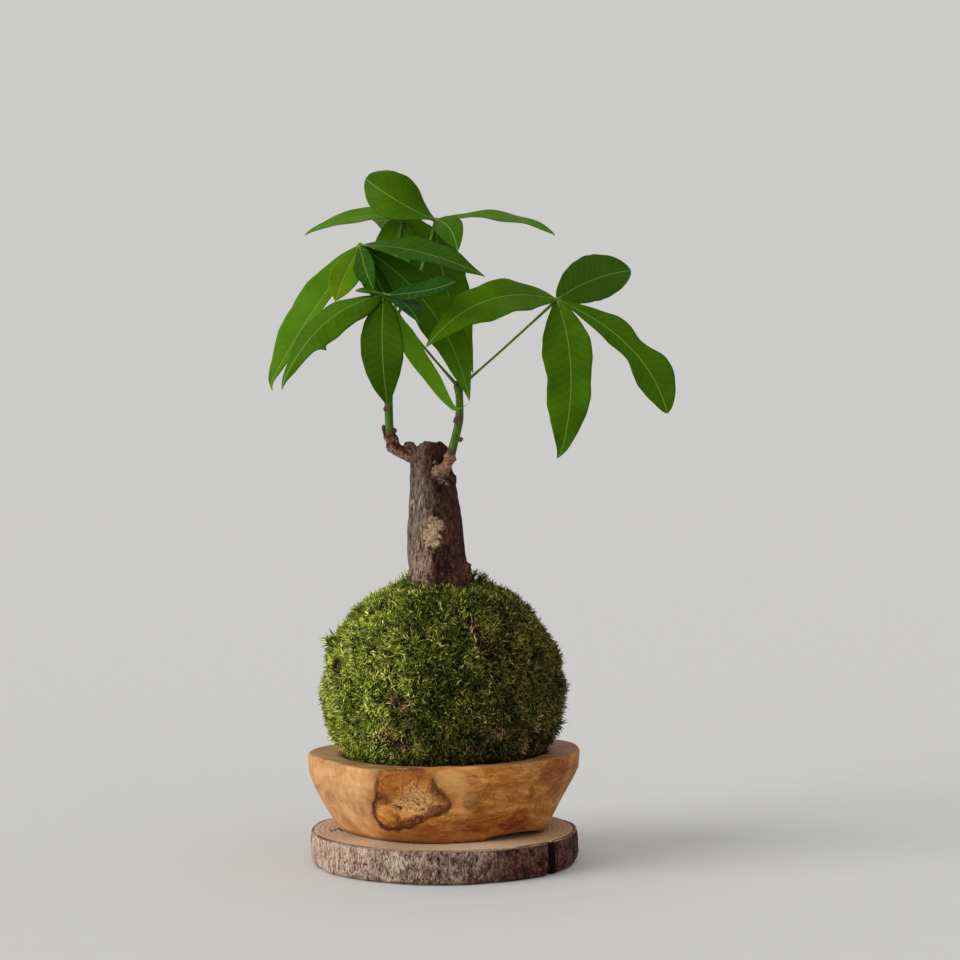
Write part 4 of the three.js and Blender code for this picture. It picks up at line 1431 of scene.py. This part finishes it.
SHOOTS = (
    Shoot(
        "shoot_left_stem", "shoot_left",
        ((-31.9, -4.4, 259.9), (-33, -4.2, 266), (-33.4, -3.6, 290), (-31.6, -2, 312), (-29.7, 0, 333)),
        (3.0, 2.75, 2.6, 2.6, 2.5, 2.6, 2.4, 2.9),
        (
            ((-35, -4.6, 276), 1.7), ((-31.4, -2.6, 305), 2.9), ((-29.9, -4.8, 263), 1.5),
            ((-29.5, 0.2, 333), 3.5),
        ),
        (((-32.5, -4, 260.5), (6, 6, 2.2)), ((-35, -5, 276), (2, 4, 2.4)), ((-29.2, -5, 263), (1.8, 3, 2))),
    ),
    Shoot(
        "shoot_right_stem", "shoot_right",
        ((4.9, -19, 249), (6.6, -20, 255), (9.6, -21.6, 268), (10, -22, 280), (9.4, -22, 288.6)),
        (2.85, 2.7, 2.6, 2.5, 2.6, 2.3, 2.4, 2.7),
        (
            ((9, -21.6, 268.6), 2.85), ((10.6, -20.6, 257.2), 1.6), ((9.4, -22, 288.2), 3.0),
            ((8.2, -24.2, 291), 1.4),
        ),
        (
            ((9.2, -22, 270), (5, 6, 2.3)), ((5, -19, 250), (6, 6, 2.0)), ((11.9, -20.8, 257.4), (2, 3, 2)),
            ((8.6, -23.8, 290.6), (2.6, 3, 2.2)),
        ),
    ),
)


# ----------------------------------------------------------------------------------------------------------
# Leaves
# ----------------------------------------------------------------------------------------------------------


@dataclass(frozen=True)
class Leaflet:
    """One leaflet. It bends from the leaf's hub through mid to tip, in millimetres.

    face is the way its upper side looks, and turn that at its tip. fold lifts both halves, in degrees.
    wave is the depth of its wavy margin and phase where the waves start. belly over 1 puts its widest part
    nearer the tip, blunt under 1 rounds its ends, and waist is how far its middle is drawn in. The tone is
    painted light and shade: it runs from -1, painted shade in blue-green, to 1, painted light in yellow-green,
    and is 1.8 for painted light shining through the blade.
    """

    mid: Triple
    tip: Triple
    width: float
    face: Triple
    fold: float
    wave: float
    phase: float
    belly: float = 1.0
    blunt: float = 0.92
    waist: float = 0.0
    turn: Triple | None = None
    painted_light_tone: float = 0.0
    skew: float = 0.0  # how much wider its left half is, seen with the tip down, as a share
    torn: float = 0.0  # share of its length where its right margin is torn to a spike, 0 for none
    hook: float = 0.0  # millimetres that its thin tip bends to its left, seen with the tip down
    # fade: painted shade at the base turning to painted light at the tip
    fade: float = 0.0  # how far its tone rises from base to tip

    def half_width(self, share: float) -> float:
        """Half the width of the blade.

        Args:
            share: Share of the length.

        Returns:
            Millimetres from the midrib to the margin.
        """
        outline = math.sin(math.pi * share**self.belly) ** self.blunt * (1 - 0.15 * share**6)
        pinch = 1 - self.waist * math.exp(-(((share - 0.52) / 0.13) ** 2))
        return max(0.55 if share < 0.5 else 0.12, self.width / 2 * outline * pinch)

    def add(self, bm: bmesh.types.BMesh, hub: Triple, columns: int = 14, rows: int = 48) -> None:
        """Add the blade to a leaf.

        Args:
            bm: The leaf, with layers "Blade" and "tone".
            hub: Where the leaflets meet.
            columns: Faces across.
            rows: Faces along.
        """
        start, middle, end = Vector(hub), Vector(self.mid), Vector(self.tip)
        pull = middle * 2 - start * 0.5 - end * 0.5
        spots = [start.lerp(pull, t / 40).lerp(pull.lerp(end, t / 40), t / 40) for t in range(41)]
        length = sum((b - a).length for a, b in zip(spots, spots[1:]))
        grid = bmesh.ops.create_grid(bm, x_segments=columns, y_segments=rows, size=1)["verts"]
        painted_light_tone, uv = bm.verts.layers.float["painted_light_tone"], bm.loops.layers.uv["Blade"]
        flat = {vert: (vert.co.x, (vert.co.y + 1) / 2) for vert in grid}
        for vert, (across, share) in flat.items():
            tangent = ((pull - start) * (1 - share) + (end - pull) * share).normalized()
            upper = Vector(self.face).lerp(Vector(self.turn or self.face), share)
            side = tangent.cross(upper).normalized()
            normal = side.cross(tangent).normalized()
            half = self.half_width(share)
            half *= 1 + 0.010 * math.sin(share * length * 0.55 + self.phase * 5 + (2 if across > 0 else 0))
            half *= 1 + (self.skew if across > 0 else -self.skew)
            if self.torn and across < 0:
                below = smoothstep(share, self.torn, self.torn + 0.07) * smoothstep(share, 0.95, 0.75)
                half *= 1 - 0.08 * below
                half += 3.2 * math.exp(-(((share - self.torn) / 0.016) ** 2)) * (across < -0.9)
            lift = math.radians(self.fold) * (1 - 0.5 * share)
            phase = self.phase + (1.3 if across > 0 else 0)
            ripple = self.wave * math.sin(share * length * 0.19 + phase) * across**2
            blade = smoothstep(share, 0.08, 0.3) * (1 - share**8)
            across_mm, along_mm = abs(across) * half, share * length
            slope = (along_mm - across_mm * VEIN_SLANT + VEIN_BEND * across_mm**2) / VEIN_STEP
            puff = 0.16 * math.cos(FULL_TURN * slope) * abs(across) ** 0.7 * (1 - across**4) * blade
            groove = 0.35 * math.exp(-((across_mm / 0.8) ** 2)) * (1 - share)
            height = across_mm * math.sin(lift) + ripple * blade + puff - groove
            centre = start.lerp(pull, share).lerp(pull.lerp(end, share), share)
            centre += side * self.hook * max(0.0, (share - 0.92) / 0.08) ** 2
            vert.co = centre + side * (across * half * math.cos(lift)) + normal * height
            # painted light and shade of the leaflet, rising along it by its fade
            vert[painted_light_tone] = self.painted_light_tone + self.fade * (share - 0.5)
        for face in {face for vert in grid for face in vert.link_faces}:
            for loop in face.loops:
                across, share = flat[loop.vert]
                loop[uv].uv = (across * self.half_width(share) / BLADE_MAP, share * length / BLADE_MAP)


@dataclass
class Leaf:
    """A palmate leaf: its stalk, hub and leaflets."""

    name: str
    hub: Triple
    stalk: tuple[Triple, ...]
    leaflets: tuple[Leaflet, ...]
    blade: float = 0.45
    petiole: float = 0.88

    def build(self, finish: bpy.types.Material, stem: bpy.types.Material) -> None:
        """Make the leaf's blades and its stalk.

        Args:
            finish: Material of the blades.
            stem: Material of the stalk.
        """
        bm = bmesh.new()
        bm.verts.layers.float.new("painted_light_tone")
        bm.loops.layers.uv.new("Blade")
        for leaflet in self.leaflets:
            leaflet.add(bm, self.hub)
        bmesh.ops.scale(bm, vec=(MM,) * 3, verts=bm.verts)
        blades = piece(mesh_of(bm, self.name + "_blades", False), finish, Slot.FOLIAGE, self.name)
        wall = blades.modifiers.new("thickness", "SOLIDIFY")
        wall.thickness, wall.offset = self.blade * MM, 0
        bm = bmesh.new()
        line = smooth_path((*self.stalk, self.hub), 10)
        swell = [1.35 - 0.5 * min(1, i / 5) + 0.35 * max(0, i - 15) / 5 for i in range(len(line))]
        radii = [self.petiole * share for share in swell]
        add_tube(bm, line, radii, 12)
        add_knob(bm, self.hub, 1.75, 0.3)
        hub = Vector(self.hub)
        for leaflet in self.leaflets:
            first = (Vector(leaflet.mid) * 2 - hub * 0.5 - Vector(leaflet.tip) * 0.5 - hub).normalized()
            add_tube(bm, [hub, hub + first * 2, hub + first * 4.5, hub + first * 8], [1.2, 1.0, 0.75, 0.3], 8)
        bmesh.ops.scale(bm, vec=(MM,) * 3, verts=bm.verts)
        piece(mesh_of(bm, self.name + "_stalk"), stem, Slot.FOLIAGE, self.name)


# Each leaflet's tone and fade paint its light and shade.
LEAVES = (
    Leaf(
        "leaf_a", (68, -35, 340), ((10.6, -23, 289), (37, -28, 312)),
        (
            Leaflet(
                (26, -64, 337), (-9, -78, 309), 28, (0.1, -0.8, 0.6), 9, 1.5, 0.3, 0.85, painted_light_tone=0.2, skew=-0.14
            ),
            Leaflet(
                (90, -10, 354), (116, 20, 363), 29, (0.6, -0.75, 0.3), 6, 0.8, 1, 1.12, 0.55, painted_light_tone=-0.1,
                skew=-0.06,
            ),
            Leaflet(
                (75.5, -58, 294), (69, -52, 245), 32, (0.05, -1, 0.15), 7, 2.0, 2.1, 0.88, 0.86, 0.17,
                painted_light_tone=0.05, skew=0.10, hook=1.5,
            ),
            Leaflet(
                (111, -44, 311), (133, -44, 272), 26, (-0.4, -0.5, 0.75), 13, 1.2, 0.7, 1.5, 0.62, 0.42,
                (0.1, -1, 0.1), -0.05, -0.10,
            ),
        ),
    ),
    Leaf(
        "leaf_b", (-34, -55, 341), ((8.2, -23.4, 290), (-12, -37, 313)),
        (
            Leaflet(
                (-67, -80, 322.5), (-92, -84, 285), 25, (-0.1, -0.68, 0.7), -17, 0.9, 1.4, 0.76, painted_light_tone=0.1,
                torn=0.646, hook=-1.5,
            ),
            Leaflet((-34, -76, 309), (-32, -54, 277), 25, (0, -0.9, 0.35), 8, 0.9, 0, 0.98, 0.78, painted_light_tone=-0.1),
            Leaflet(
                (-15.5, -54, 306), (11, -38, 270), 16, (0.6, -0.65, 0.35), 12, 0.6, 2, painted_light_tone=1.8, hook=-12
            ),
            Leaflet((-22, -77, 335), (-12.5, -97, 322), 22, (0.4, -0.6, 0.65), 3, 0.3, 1, 0.85, painted_light_tone=-0.9),
            Leaflet((-9, -79, 341.5), (8, -95, 345), 20, (0.1, -0.8, 0.6), 12, 0.7, 0.5, painted_light_tone=-0.9),
            Leaflet((-43, -60, 343), (-50.5, -62, 343), 7, (0.1, -0.6, 0.8), 8, 0.4, 0.5, painted_light_tone=-0.2),
        ),
    ),
    Leaf(
        "leaf_c", (-50, -20, 374), ((-31, -2, 333.5), (-39, -5, 352)),
        (
            Leaflet(
                (-80, -28, 330), (-104, -36, 287), 21, (-0.4, -0.85, 0.3), 9, 0.9, 0, 0.88, 0.85, painted_light_tone=0.5,
                skew=0.40, hook=-3.5,
            ),
            Leaflet((-58, -39, 354), (-63, -47, 338), 18, (0.1, -0.85, 0.4), 8, 0.7, 1.2, painted_light_tone=0.74),
            Leaflet((-46, -38, 359), (-40, -42, 344), 14, (-0.5, -0.75, 0.4), 12, 0.5, 2, painted_light_tone=-0.6),
            Leaflet((-40, -24, 354), (-31, -18, 338), 20, (0.1, -0.9, 0.4), 8, 0.6, 0.9, painted_light_tone=-0.3),
            Leaflet(
                (-6.5, -33, 333.5), (16, -34, 280), 27, (0.3, -0.9, 0.3), 9, 1.4, 2.6, painted_light_tone=0.0, fade=1.3
            ),
            Leaflet((-13, -48, 367), (25, -56, 352), 26, (0.1, -0.6, 0.8), 13, 0.9, 1.6, painted_light_tone=-0.45),
        ),
    ),
    Leaf(
        "leaf_d", (-5, 10, 393), ((-28.2, 0.8, 334), (-14, 4, 362)),
        (
            Leaflet(
                (-27, 6, 403.5), (-48.5, 14, 419), 29.5, (-0.1, -0.5, 0.85), 13, 0.4, 0.4, 1.38, 0.5, 0,
                (-0.4, -0.9, -0.25), 0.05, 0.08,
            ),
            Leaflet((-46, 26, 398), (-88, 30, 387), 23, (-0.1, -0.5, 0.86), 10, 0.4, 1, painted_light_tone=0.45, hook=-2.5),
            Leaflet((35, 6, 394), (69, 0, 383), 21, (0.1, -0.36, 0.92), 9, 0.8, 2, painted_light_tone=0.3, hook=2.5),
            Leaflet((4, -13, 385), (9, -34, 369), 17, (-0.35, -0.6, 0.7), 14, 0.5, 1, painted_light_tone=-0.2),
            Leaflet((1, 18, 354), (18, 10, 299), 29, (0.3, -0.95, 0.2), 7, 1.3, 1.9, painted_light_tone=0.0, fade=1.0),
        ),
    ),
    Leaf(
        "leaf_e", (-26, 27, 398), ((-29.7, 2.6, 334), (-30, 17, 364)),
        (
            Leaflet((-32, 33, 373), (-29, 29, 344), 25, (-0.1, -0.9, 0.4), 9, 0.8, 0.2, 0.8, painted_light_tone=0.6),
            Leaflet((-8, 45, 362), (11, 42, 317), 31, (0.2, -0.9, 0.35), 8, 1.2, 1.1, 0.72, painted_light_tone=0.4),
            Leaflet((-36, 60, 402), (-42, 94, 397), 21, (-0.1, 0.3, 1), 10, 0.9, 2.2, painted_light_tone=0.6),
            Leaflet((-24, 66, 405), (-20, 104, 397), 20, (0.05, 0.3, 1), 9, 0.9, 0.6, painted_light_tone=0.0),
            Leaflet((-14, 58, 388), (-2, 88, 366), 22, (0.3, 0.4, 0.9), 11, 0.8, 1.5, painted_light_tone=0.1),
        ),
    ),
)


# ----------------------------------------------------------------------------------------------------------
# Moss ball
# ----------------------------------------------------------------------------------------------------------


@dataclass
class MossBall:
    """The moss skin: a dark lumpy mat with thousands of small tufts rooted in it."""

    centre: float = 105.5
    radius: float = 70.8
    half_height: float = 68.2
    soil_radius: float = 62.8
    soil_half_height: float = 58.8
    stump_middle: float = -0.8
    stump_radius: float = 21.3
    lip_radius: float = 23.5  # where the outside ends, round the stump
    lip_height: float = 0.885  # the lip's height over the ball's middle, as a share of the half height
    # Shares of the skin's way where the outside ends and the inside begins.
    outside_share: float = 0.62
    inside_share: float = 0.64
    lowest: float = 62.0
    # Single longer tufts that stand out of the ball, as direction in degrees, height and size.
    strays: tuple[Triple, ...] = (
        (184, 133, 1.9), (187, 132, 1.7), (180, 133, 1.8), (176, 128, 1.4), (2, 112, 1.4), (-4, 106, 1.3),
        (5, 93, 1.3), (-6, 85, 1.4), (150, 150, 1.4), (60, 128, 1.4), (100, 95, 1.4), (215, 150, 1.3),
    )
    sectors: int = 8
    tufts: int = 2300
    kinds: int = 14
    strands: int = 5
    seed: int = 11

    def lump(self, spot: Vector) -> float:
        """Relief of the mat.

        Args:
            spot: A place on the plain ball, in millimetres.

        Returns:
            How far the mat rises there, in millimetres.
        """
        fade, flat = smoothstep(spot.z, 70, 80), (spot - Vector((52, -18, 156))).length / 32
        foot = smoothstep(math.hypot(spot.x - self.stump_middle, spot.y), 44, 24)
        lumps = fade * (1 - 0.6 * foot) * (2.1 * drift(spot, 15) + 1.2 * drift(spot, 6.5, 3))
        return lumps - 3.4 * foot - 2.2 * math.exp(-(flat**2)) * (1 - foot)

    def place(self, share: float, angle: float) -> Triple:
        """Where a vertex of the mat lies: outside from the bottom up, round the lip, then the inside down.

        Args:
            share: Its share of the way along the skin.
            angle: Its angle round Z.

        Returns:
            Its place in millimetres.
        """
        if share < self.outside_share:
            top = math.acos(self.lip_radius / self.radius)
            turn = -math.pi / 2 + (share / self.outside_share) * (math.pi / 2 + top)
            reach = math.cos(turn)
            flat = Vector((reach * math.cos(angle), reach * math.sin(angle), math.sin(turn)))
            height = self.centre + flat.z * self.half_height
            spot = Vector((flat.x * self.radius, flat.y * self.radius, height))
            return tuple(spot + flat * self.lump(spot))
        top = math.acos(self.stump_radius / self.soil_radius)
        turn = top - (share - self.inside_share) / (1 - self.inside_share) * (math.pi / 2 + top)
        if share < self.inside_share:
            radius, z = self.stump_radius, self.centre + self.half_height * self.lip_height
        else:
            radius = self.soil_radius * math.cos(turn)
            z = self.centre + self.soil_half_height * math.sin(turn)
        away = self.stump_middle if radius < self.stump_radius + 0.1 and z > self.centre else 0.0
        return away + radius * math.cos(angle), radius * math.sin(angle), z

    def mat(self) -> bpy.types.Object:
        """Make the dark mat."""
        bm = turned(120, 220, self.place)
        return piece(mesh_of(bm, "moss_mat"), MossFinish().mat(), Slot.MOSS, "moss_ball")

    def tuft(self, rng: random.Random) -> bpy.types.Mesh:
        """A clump of strands that leans out from its root at the origin, a few dozen faces in all.

        Args:
            rng: Source of its variety.

        Returns:
            The clump, about 1 mm tall for each mm of strand, with its two maps.
        """
        bm = bmesh.new()
        own, bake = bm.loops.layers.uv.new("Strand"), bm.loops.layers.uv.new("OFBake")
        for index in range(self.strands):
            raised = Matrix.Translation((0, 0, 0.5))
            made = bmesh.ops.create_cone(
                bm, cap_ends=True, segments=3, radius1=1, radius2=0, depth=1, matrix=raised
            )["verts"]
            bmesh.ops.remove_doubles(bm, verts=made, dist=1e-5)
            made = [vert for vert in bm.verts if vert.is_valid and not vert.tag]
            upright = [e for v in made for e in v.link_edges if abs(e.verts[0].co.z - e.verts[1].co.z) > 0.5]
            bmesh.ops.subdivide_edges(bm, edges=list(set(upright)), cuts=2)
            made = [vert for vert in bm.verts if not vert.tag]
            kind = rng.random()
            for face in {face for vert in made for face in vert.link_faces}:
                middle = face.calc_center_median()
                foot = all(vert.co.z < 0.01 for vert in face.verts)
                side = int((math.atan2(middle.y, middle.x) + math.pi) / FULL_TURN * 3) % 3
                for loop in face.loops:
                    height = loop.vert.co.z
                    turn = math.atan2(loop.vert.co.y, loop.vert.co.x) - math.atan2(middle.y, middle.x)
                    turn = 0.5 if height > 0.99 else (0.95 if math.remainder(turn, FULL_TURN) > 0 else 0.05)
                    if foot:
                        turn, height = 1.5 + loop.vert.co.x * 1.4, -0.07 + 0.04 * loop.vert.co.y
                        side = 0
                    loop[own].uv = (kind, max(0.0, height))
                    loop[bake].uv = ((index + (side + turn) / 3) / self.strands, 0.12 + 0.85 * height)
            width, tall = rng.uniform(0.34, 0.62), rng.uniform(4.2, 7.0)
            lean, curl = rng.uniform(-0.2, 1.0), rng.choice((-1, 1)) * rng.uniform(0.5, 2.0)
            spin = Matrix.Rotation(FULL_TURN * (index + rng.random()) / self.strands, 4, "Z")
            root = Vector((rng.uniform(-1, 1), rng.uniform(-1, 1), 0)) * 1.1
            for vert in made:
                h = vert.co.z
                fat = (0.60 + 1.0 * h) * (1.02 - h) ** 0.6 / (1 - h) if h < 0.99 else 1
                heading = lean + curl * h
                swept = Vector((
                    (math.cos(lean) - math.cos(heading)) / curl, 0.16 * math.sin(h * 3 + kind * 9) * h,
                    (math.sin(heading) - math.sin(lean)) / curl,
                )) * tall
                thin = vert.co.x * fat * width * 0.5
                flat = Vector((thin * math.cos(heading), vert.co.y * fat * width, -thin * math.sin(heading)))
                vert.co = root + spin @ (flat + swept)
                vert.tag = True
        mesh = bpy.data.meshes.new("tuft")
        bm.to_mesh(mesh)
        bm.free()
        return mesh

    def root_spots(self, count: int, sector: int, rng: np.random.Generator) -> np.ndarray:
        """Places for tufts on one sector of the mat.

        Args:
            count: How many.
            sector: Which sector, from 0.
            rng: Source of the places.

        Returns:
            Directions from the ball's middle, one to a row, before they are scaled to the ball.
        """
        low = (self.lowest - self.centre) / self.half_height
        high = math.sin(math.acos(self.stump_radius / self.radius)) + 0.01
        up = low + (high - low) * (np.arange(count) + rng.random(count)) / count
        around = FULL_TURN * (sector + rng.random(count)) / self.sectors
        reach = np.sqrt(1 - np.minimum(up**2, 1))
        return np.stack([reach * np.cos(around), reach * np.sin(around), up], axis=1)

    def tufts_in(self, sector: int) -> bpy.types.Object:
        """Plant one sector's tufts.

        Args:
            sector: Which sector, from 0.

        Returns:
            The piece.
        """
        rng, choice = np.random.default_rng(self.seed + sector), random.Random(self.seed)
        kinds = [self.tuft(choice) for _ in range(self.kinds)]
        bm = bmesh.new()
        order = np.sort(rng.integers(0, self.kinds, self.tufts))
        for kind in order:
            bm.from_mesh(kinds[kind])
        mesh = bpy.data.meshes.new(f"moss_tufts_{sector + 1}")
        bm.to_mesh(mesh)
        bm.free()
        ways = self.root_spots(self.tufts, sector, rng)
        rng.shuffle(ways)
        local = np.empty(len(mesh.vertices) * 3, np.float32)
        mesh.vertices.foreach_get("co", local)
        local = local.reshape(self.tufts, -1, 3)
        placed = np.stack([self.planted(way, shape, rng) for way, shape in zip(ways, local)])
        mesh.vertices.foreach_set("co", (placed * MM).astype(np.float32).ravel())
        self.spread_map(mesh)
        made = piece(mesh, bpy.data.materials["moss_strands"], Slot.MOSS, "moss_ball")
        mesh.update()
        return made

    def planted(self, way: np.ndarray, shape: np.ndarray, rng: np.random.Generator) -> np.ndarray:
        """Put one tuft at its place.

        Args:
            way: Its direction from the ball's middle.
            shape: Its vertices, root at the origin and tips about 6 mm up.
            rng: Source of its turn, lean and size.

        Returns:
            Its vertices in millimetres.
        """
        axes = np.array([self.radius, self.radius, self.half_height])
        spot = way * axes
        out = way / axes
        out /= np.linalg.norm(out)
        root = np.array([0, 0, self.centre]) + spot
        root += out * (self.lump(Vector(root)) - 1.0)
        side = np.cross(out, (0, 0, 1.0))
        side /= np.linalg.norm(side)
        down = np.cross(side, out)
        down = down if down[2] < 0 else -down
        near_bowl = float(np.clip((78 - root[2]) / 11, 0, 1))
        reach = math.hypot(root[0] - self.stump_middle, root[1])
        near_stump = float(np.clip((33 - reach) / 9, 0, 1))
        degrees = math.degrees(math.atan2(root[1], root[0]))
        swirl = FULL_TURN * drift(Vector(root), 17, 40) + rng.normal() * 0.9
        comb = side * math.cos(swirl) + down * (math.sin(swirl) + 0.30 + near_stump)
        comb = comb * (1 - near_bowl) + (side * math.cos(swirl) - down * 0.45) * near_bowl
        comb /= np.linalg.norm(comb)
        tilt = rng.triangular(0.2, 0.95, 1.3)
        clump = 0.5 + 0.7 * drift(Vector(root), 6.5, 21)
        size = rng.uniform(0.58, 0.92) + 0.50 * clump - 0.42 * near_bowl - 0.22 * near_stump
        sideways = smoothstep(abs(math.cos(math.radians(degrees))), 0.80, 0.97)
        climb = near_stump * sideways * rng.random() ** 1.5
        root = root + np.array([0, 0, 8.5 * climb]) - out * 0.6 * climb
        size, tilt = size + 0.25 * climb, tilt * (1 - 0.5 * climb)
        for way_degrees, height, stray in self.strays:
            off = math.remainder(degrees - way_degrees, 360) * math.pi / 180 * reach
            if abs(off) < 1.6 and abs(root[2] - height) < 1.6:
                size, tilt = stray * rng.uniform(0.9, 1.1), 0.15 + 0.3 * rng.random()
        grow = out * math.cos(tilt) + comb * math.sin(tilt)
        across = np.cross(grow, rng.normal(size=3))
        across /= np.linalg.norm(across)
        turned_to = np.stack([across, np.cross(grow, across), grow])
        return root + shape @ turned_to * size

    def spread_map(self, mesh: bpy.types.Mesh) -> None:
        """Give each tuft its own cell of the "OFBake" map, and each its own strand numbers.

        Args:
            mesh: A sector's tufts.
        """
        cells = math.ceil(math.sqrt(self.tufts))
        index = np.arange(self.tufts)
        corner = np.stack([index % cells, index // cells], axis=1)[:, None, :]
        moves = {"OFBake": lambda uv: (corner + 0.04 + 0.92 * uv) / cells, "Strand": self.renumber}
        for name, move in moves.items():
            layer = mesh.uv_layers[name]
            uv = np.empty(len(mesh.loops) * 2, np.float32)
            layer.uv.foreach_get("vector", uv)
            uv = uv.reshape(self.tufts, -1, 2)
            layer.uv.foreach_set("vector", move(uv).astype(np.float32).ravel())

    def renumber(self, uv: np.ndarray) -> np.ndarray:
        """Shift the strand numbers of each tuft, so that tufts of one kind differ."""
        shift = np.random.default_rng(self.seed).random(len(uv))[:, None]
        return np.stack([(uv[..., 0] + shift) % 1.0, uv[..., 1]], axis=2)

    def build(self) -> None:
        """Make the mat and all its tufts."""
        self.mat()
        MossFinish().strands()
        for sector in range(self.sectors):
            self.tufts_in(sector)


# ----------------------------------------------------------------------------------------------------------
# Stage
# ----------------------------------------------------------------------------------------------------------


@dataclass(frozen=True)
class Lamp:
    """A far, wide and soft light that shines on the plant."""

    name: str
    place: Triple
    width: float  # radians across, seen from the plant
    power: float
    colour: Colour = (1.0, 1.0, 1.0)

    def build(self) -> None:
        """Hang the lamp."""
        light = bpy.data.lights.new(self.name, "SUN")
        light.angle, light.energy, light.color = self.width, self.power, self.colour
        made = bpy.data.objects.new(self.name, light)
        made.location = self.place
        made.rotation_euler = (Vector((0, 0, 0.22)) - made.location).to_track_quat("-Z", "Y").to_euler()
        bpy.context.scene.collection.objects.link(made)


@dataclass
class Stage:
    """Camera, lamps and the pale floor."""

    lens: float = 78.75
    eye: Triple = (0.0223, -1.285, 0.2328)
    lamps: tuple[Lamp, ...] = (
        Lamp("window", (-1.9, -0.95, 1.15), 0.8, 2.3, (1.0, 0.99, 0.97)),
        Lamp("fill", (0.5, -2.2, 0.8), 1.2, 0.30),
    )

    def camera(self) -> None:
        """Place the camera where the photograph was taken from."""
        lens = bpy.data.cameras.new("camera")
        lens.lens, lens.sensor_width = self.lens, 36
        made = bpy.data.objects.new("camera", lens)
        made.location, made.rotation_euler = self.eye, (math.pi / 2, 0, 0)
        bpy.context.scene.collection.objects.link(made)
        bpy.context.scene.camera = made

    def build(self) -> None:
        """Light the scene and lay its floor."""
        for lamp in self.lamps:
            lamp.build()
        bpy.context.scene.view_settings.view_transform = "Standard"
        world = bpy.data.worlds.new("studio")
        bpy.context.scene.world = world
        world.use_nodes = True
        world.node_tree.nodes["Background"].inputs["Color"].default_value = (1.0, 0.995, 0.98, 1)
        world.node_tree.nodes["Background"].inputs["Strength"].default_value = 0.60
        bm = bmesh.new()
        bmesh.ops.create_grid(bm, x_segments=2, y_segments=2, size=30)
        floor = bpy.data.objects.new("floor", mesh_of(bm, "floor", False))
        bpy.context.scene.collection.objects.link(floor)
        recipe = Recipe("floor_paper")
        paper = recipe.mix(recipe.noise(60, 2), (0.625, 0.622, 0.615), (0.650, 0.647, 0.640))
        floor.data.materials.append(recipe.surface(Base_Color=paper, Roughness=0.9))


def main() -> None:
    """Build the stage and the plant, from the slice up."""
    logging.basicConfig(level=logging.INFO, format="%(name)s: %(message)s")
    stage = Stage()
    stage.camera()
    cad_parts["soil_core"].data.materials.clear()
    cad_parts["soil_core"].data.materials.append(soil_material())
    LogSlice().build()
    Bowl().build()
    MossBall().build()
    Stump().build()
    for shoot in SHOOTS:
        shoot.build()
    blades = LeafFinish().material()
    stalks = StemFinish("leaf_stalk", green=(0.075, 0.16, 0.012), light=(0.17, 0.27, 0.03)).material()
    for leaf in LEAVES:
        leaf.build(blades, stalks)
    stage.build()


if __name__ == "__main__":
    main()
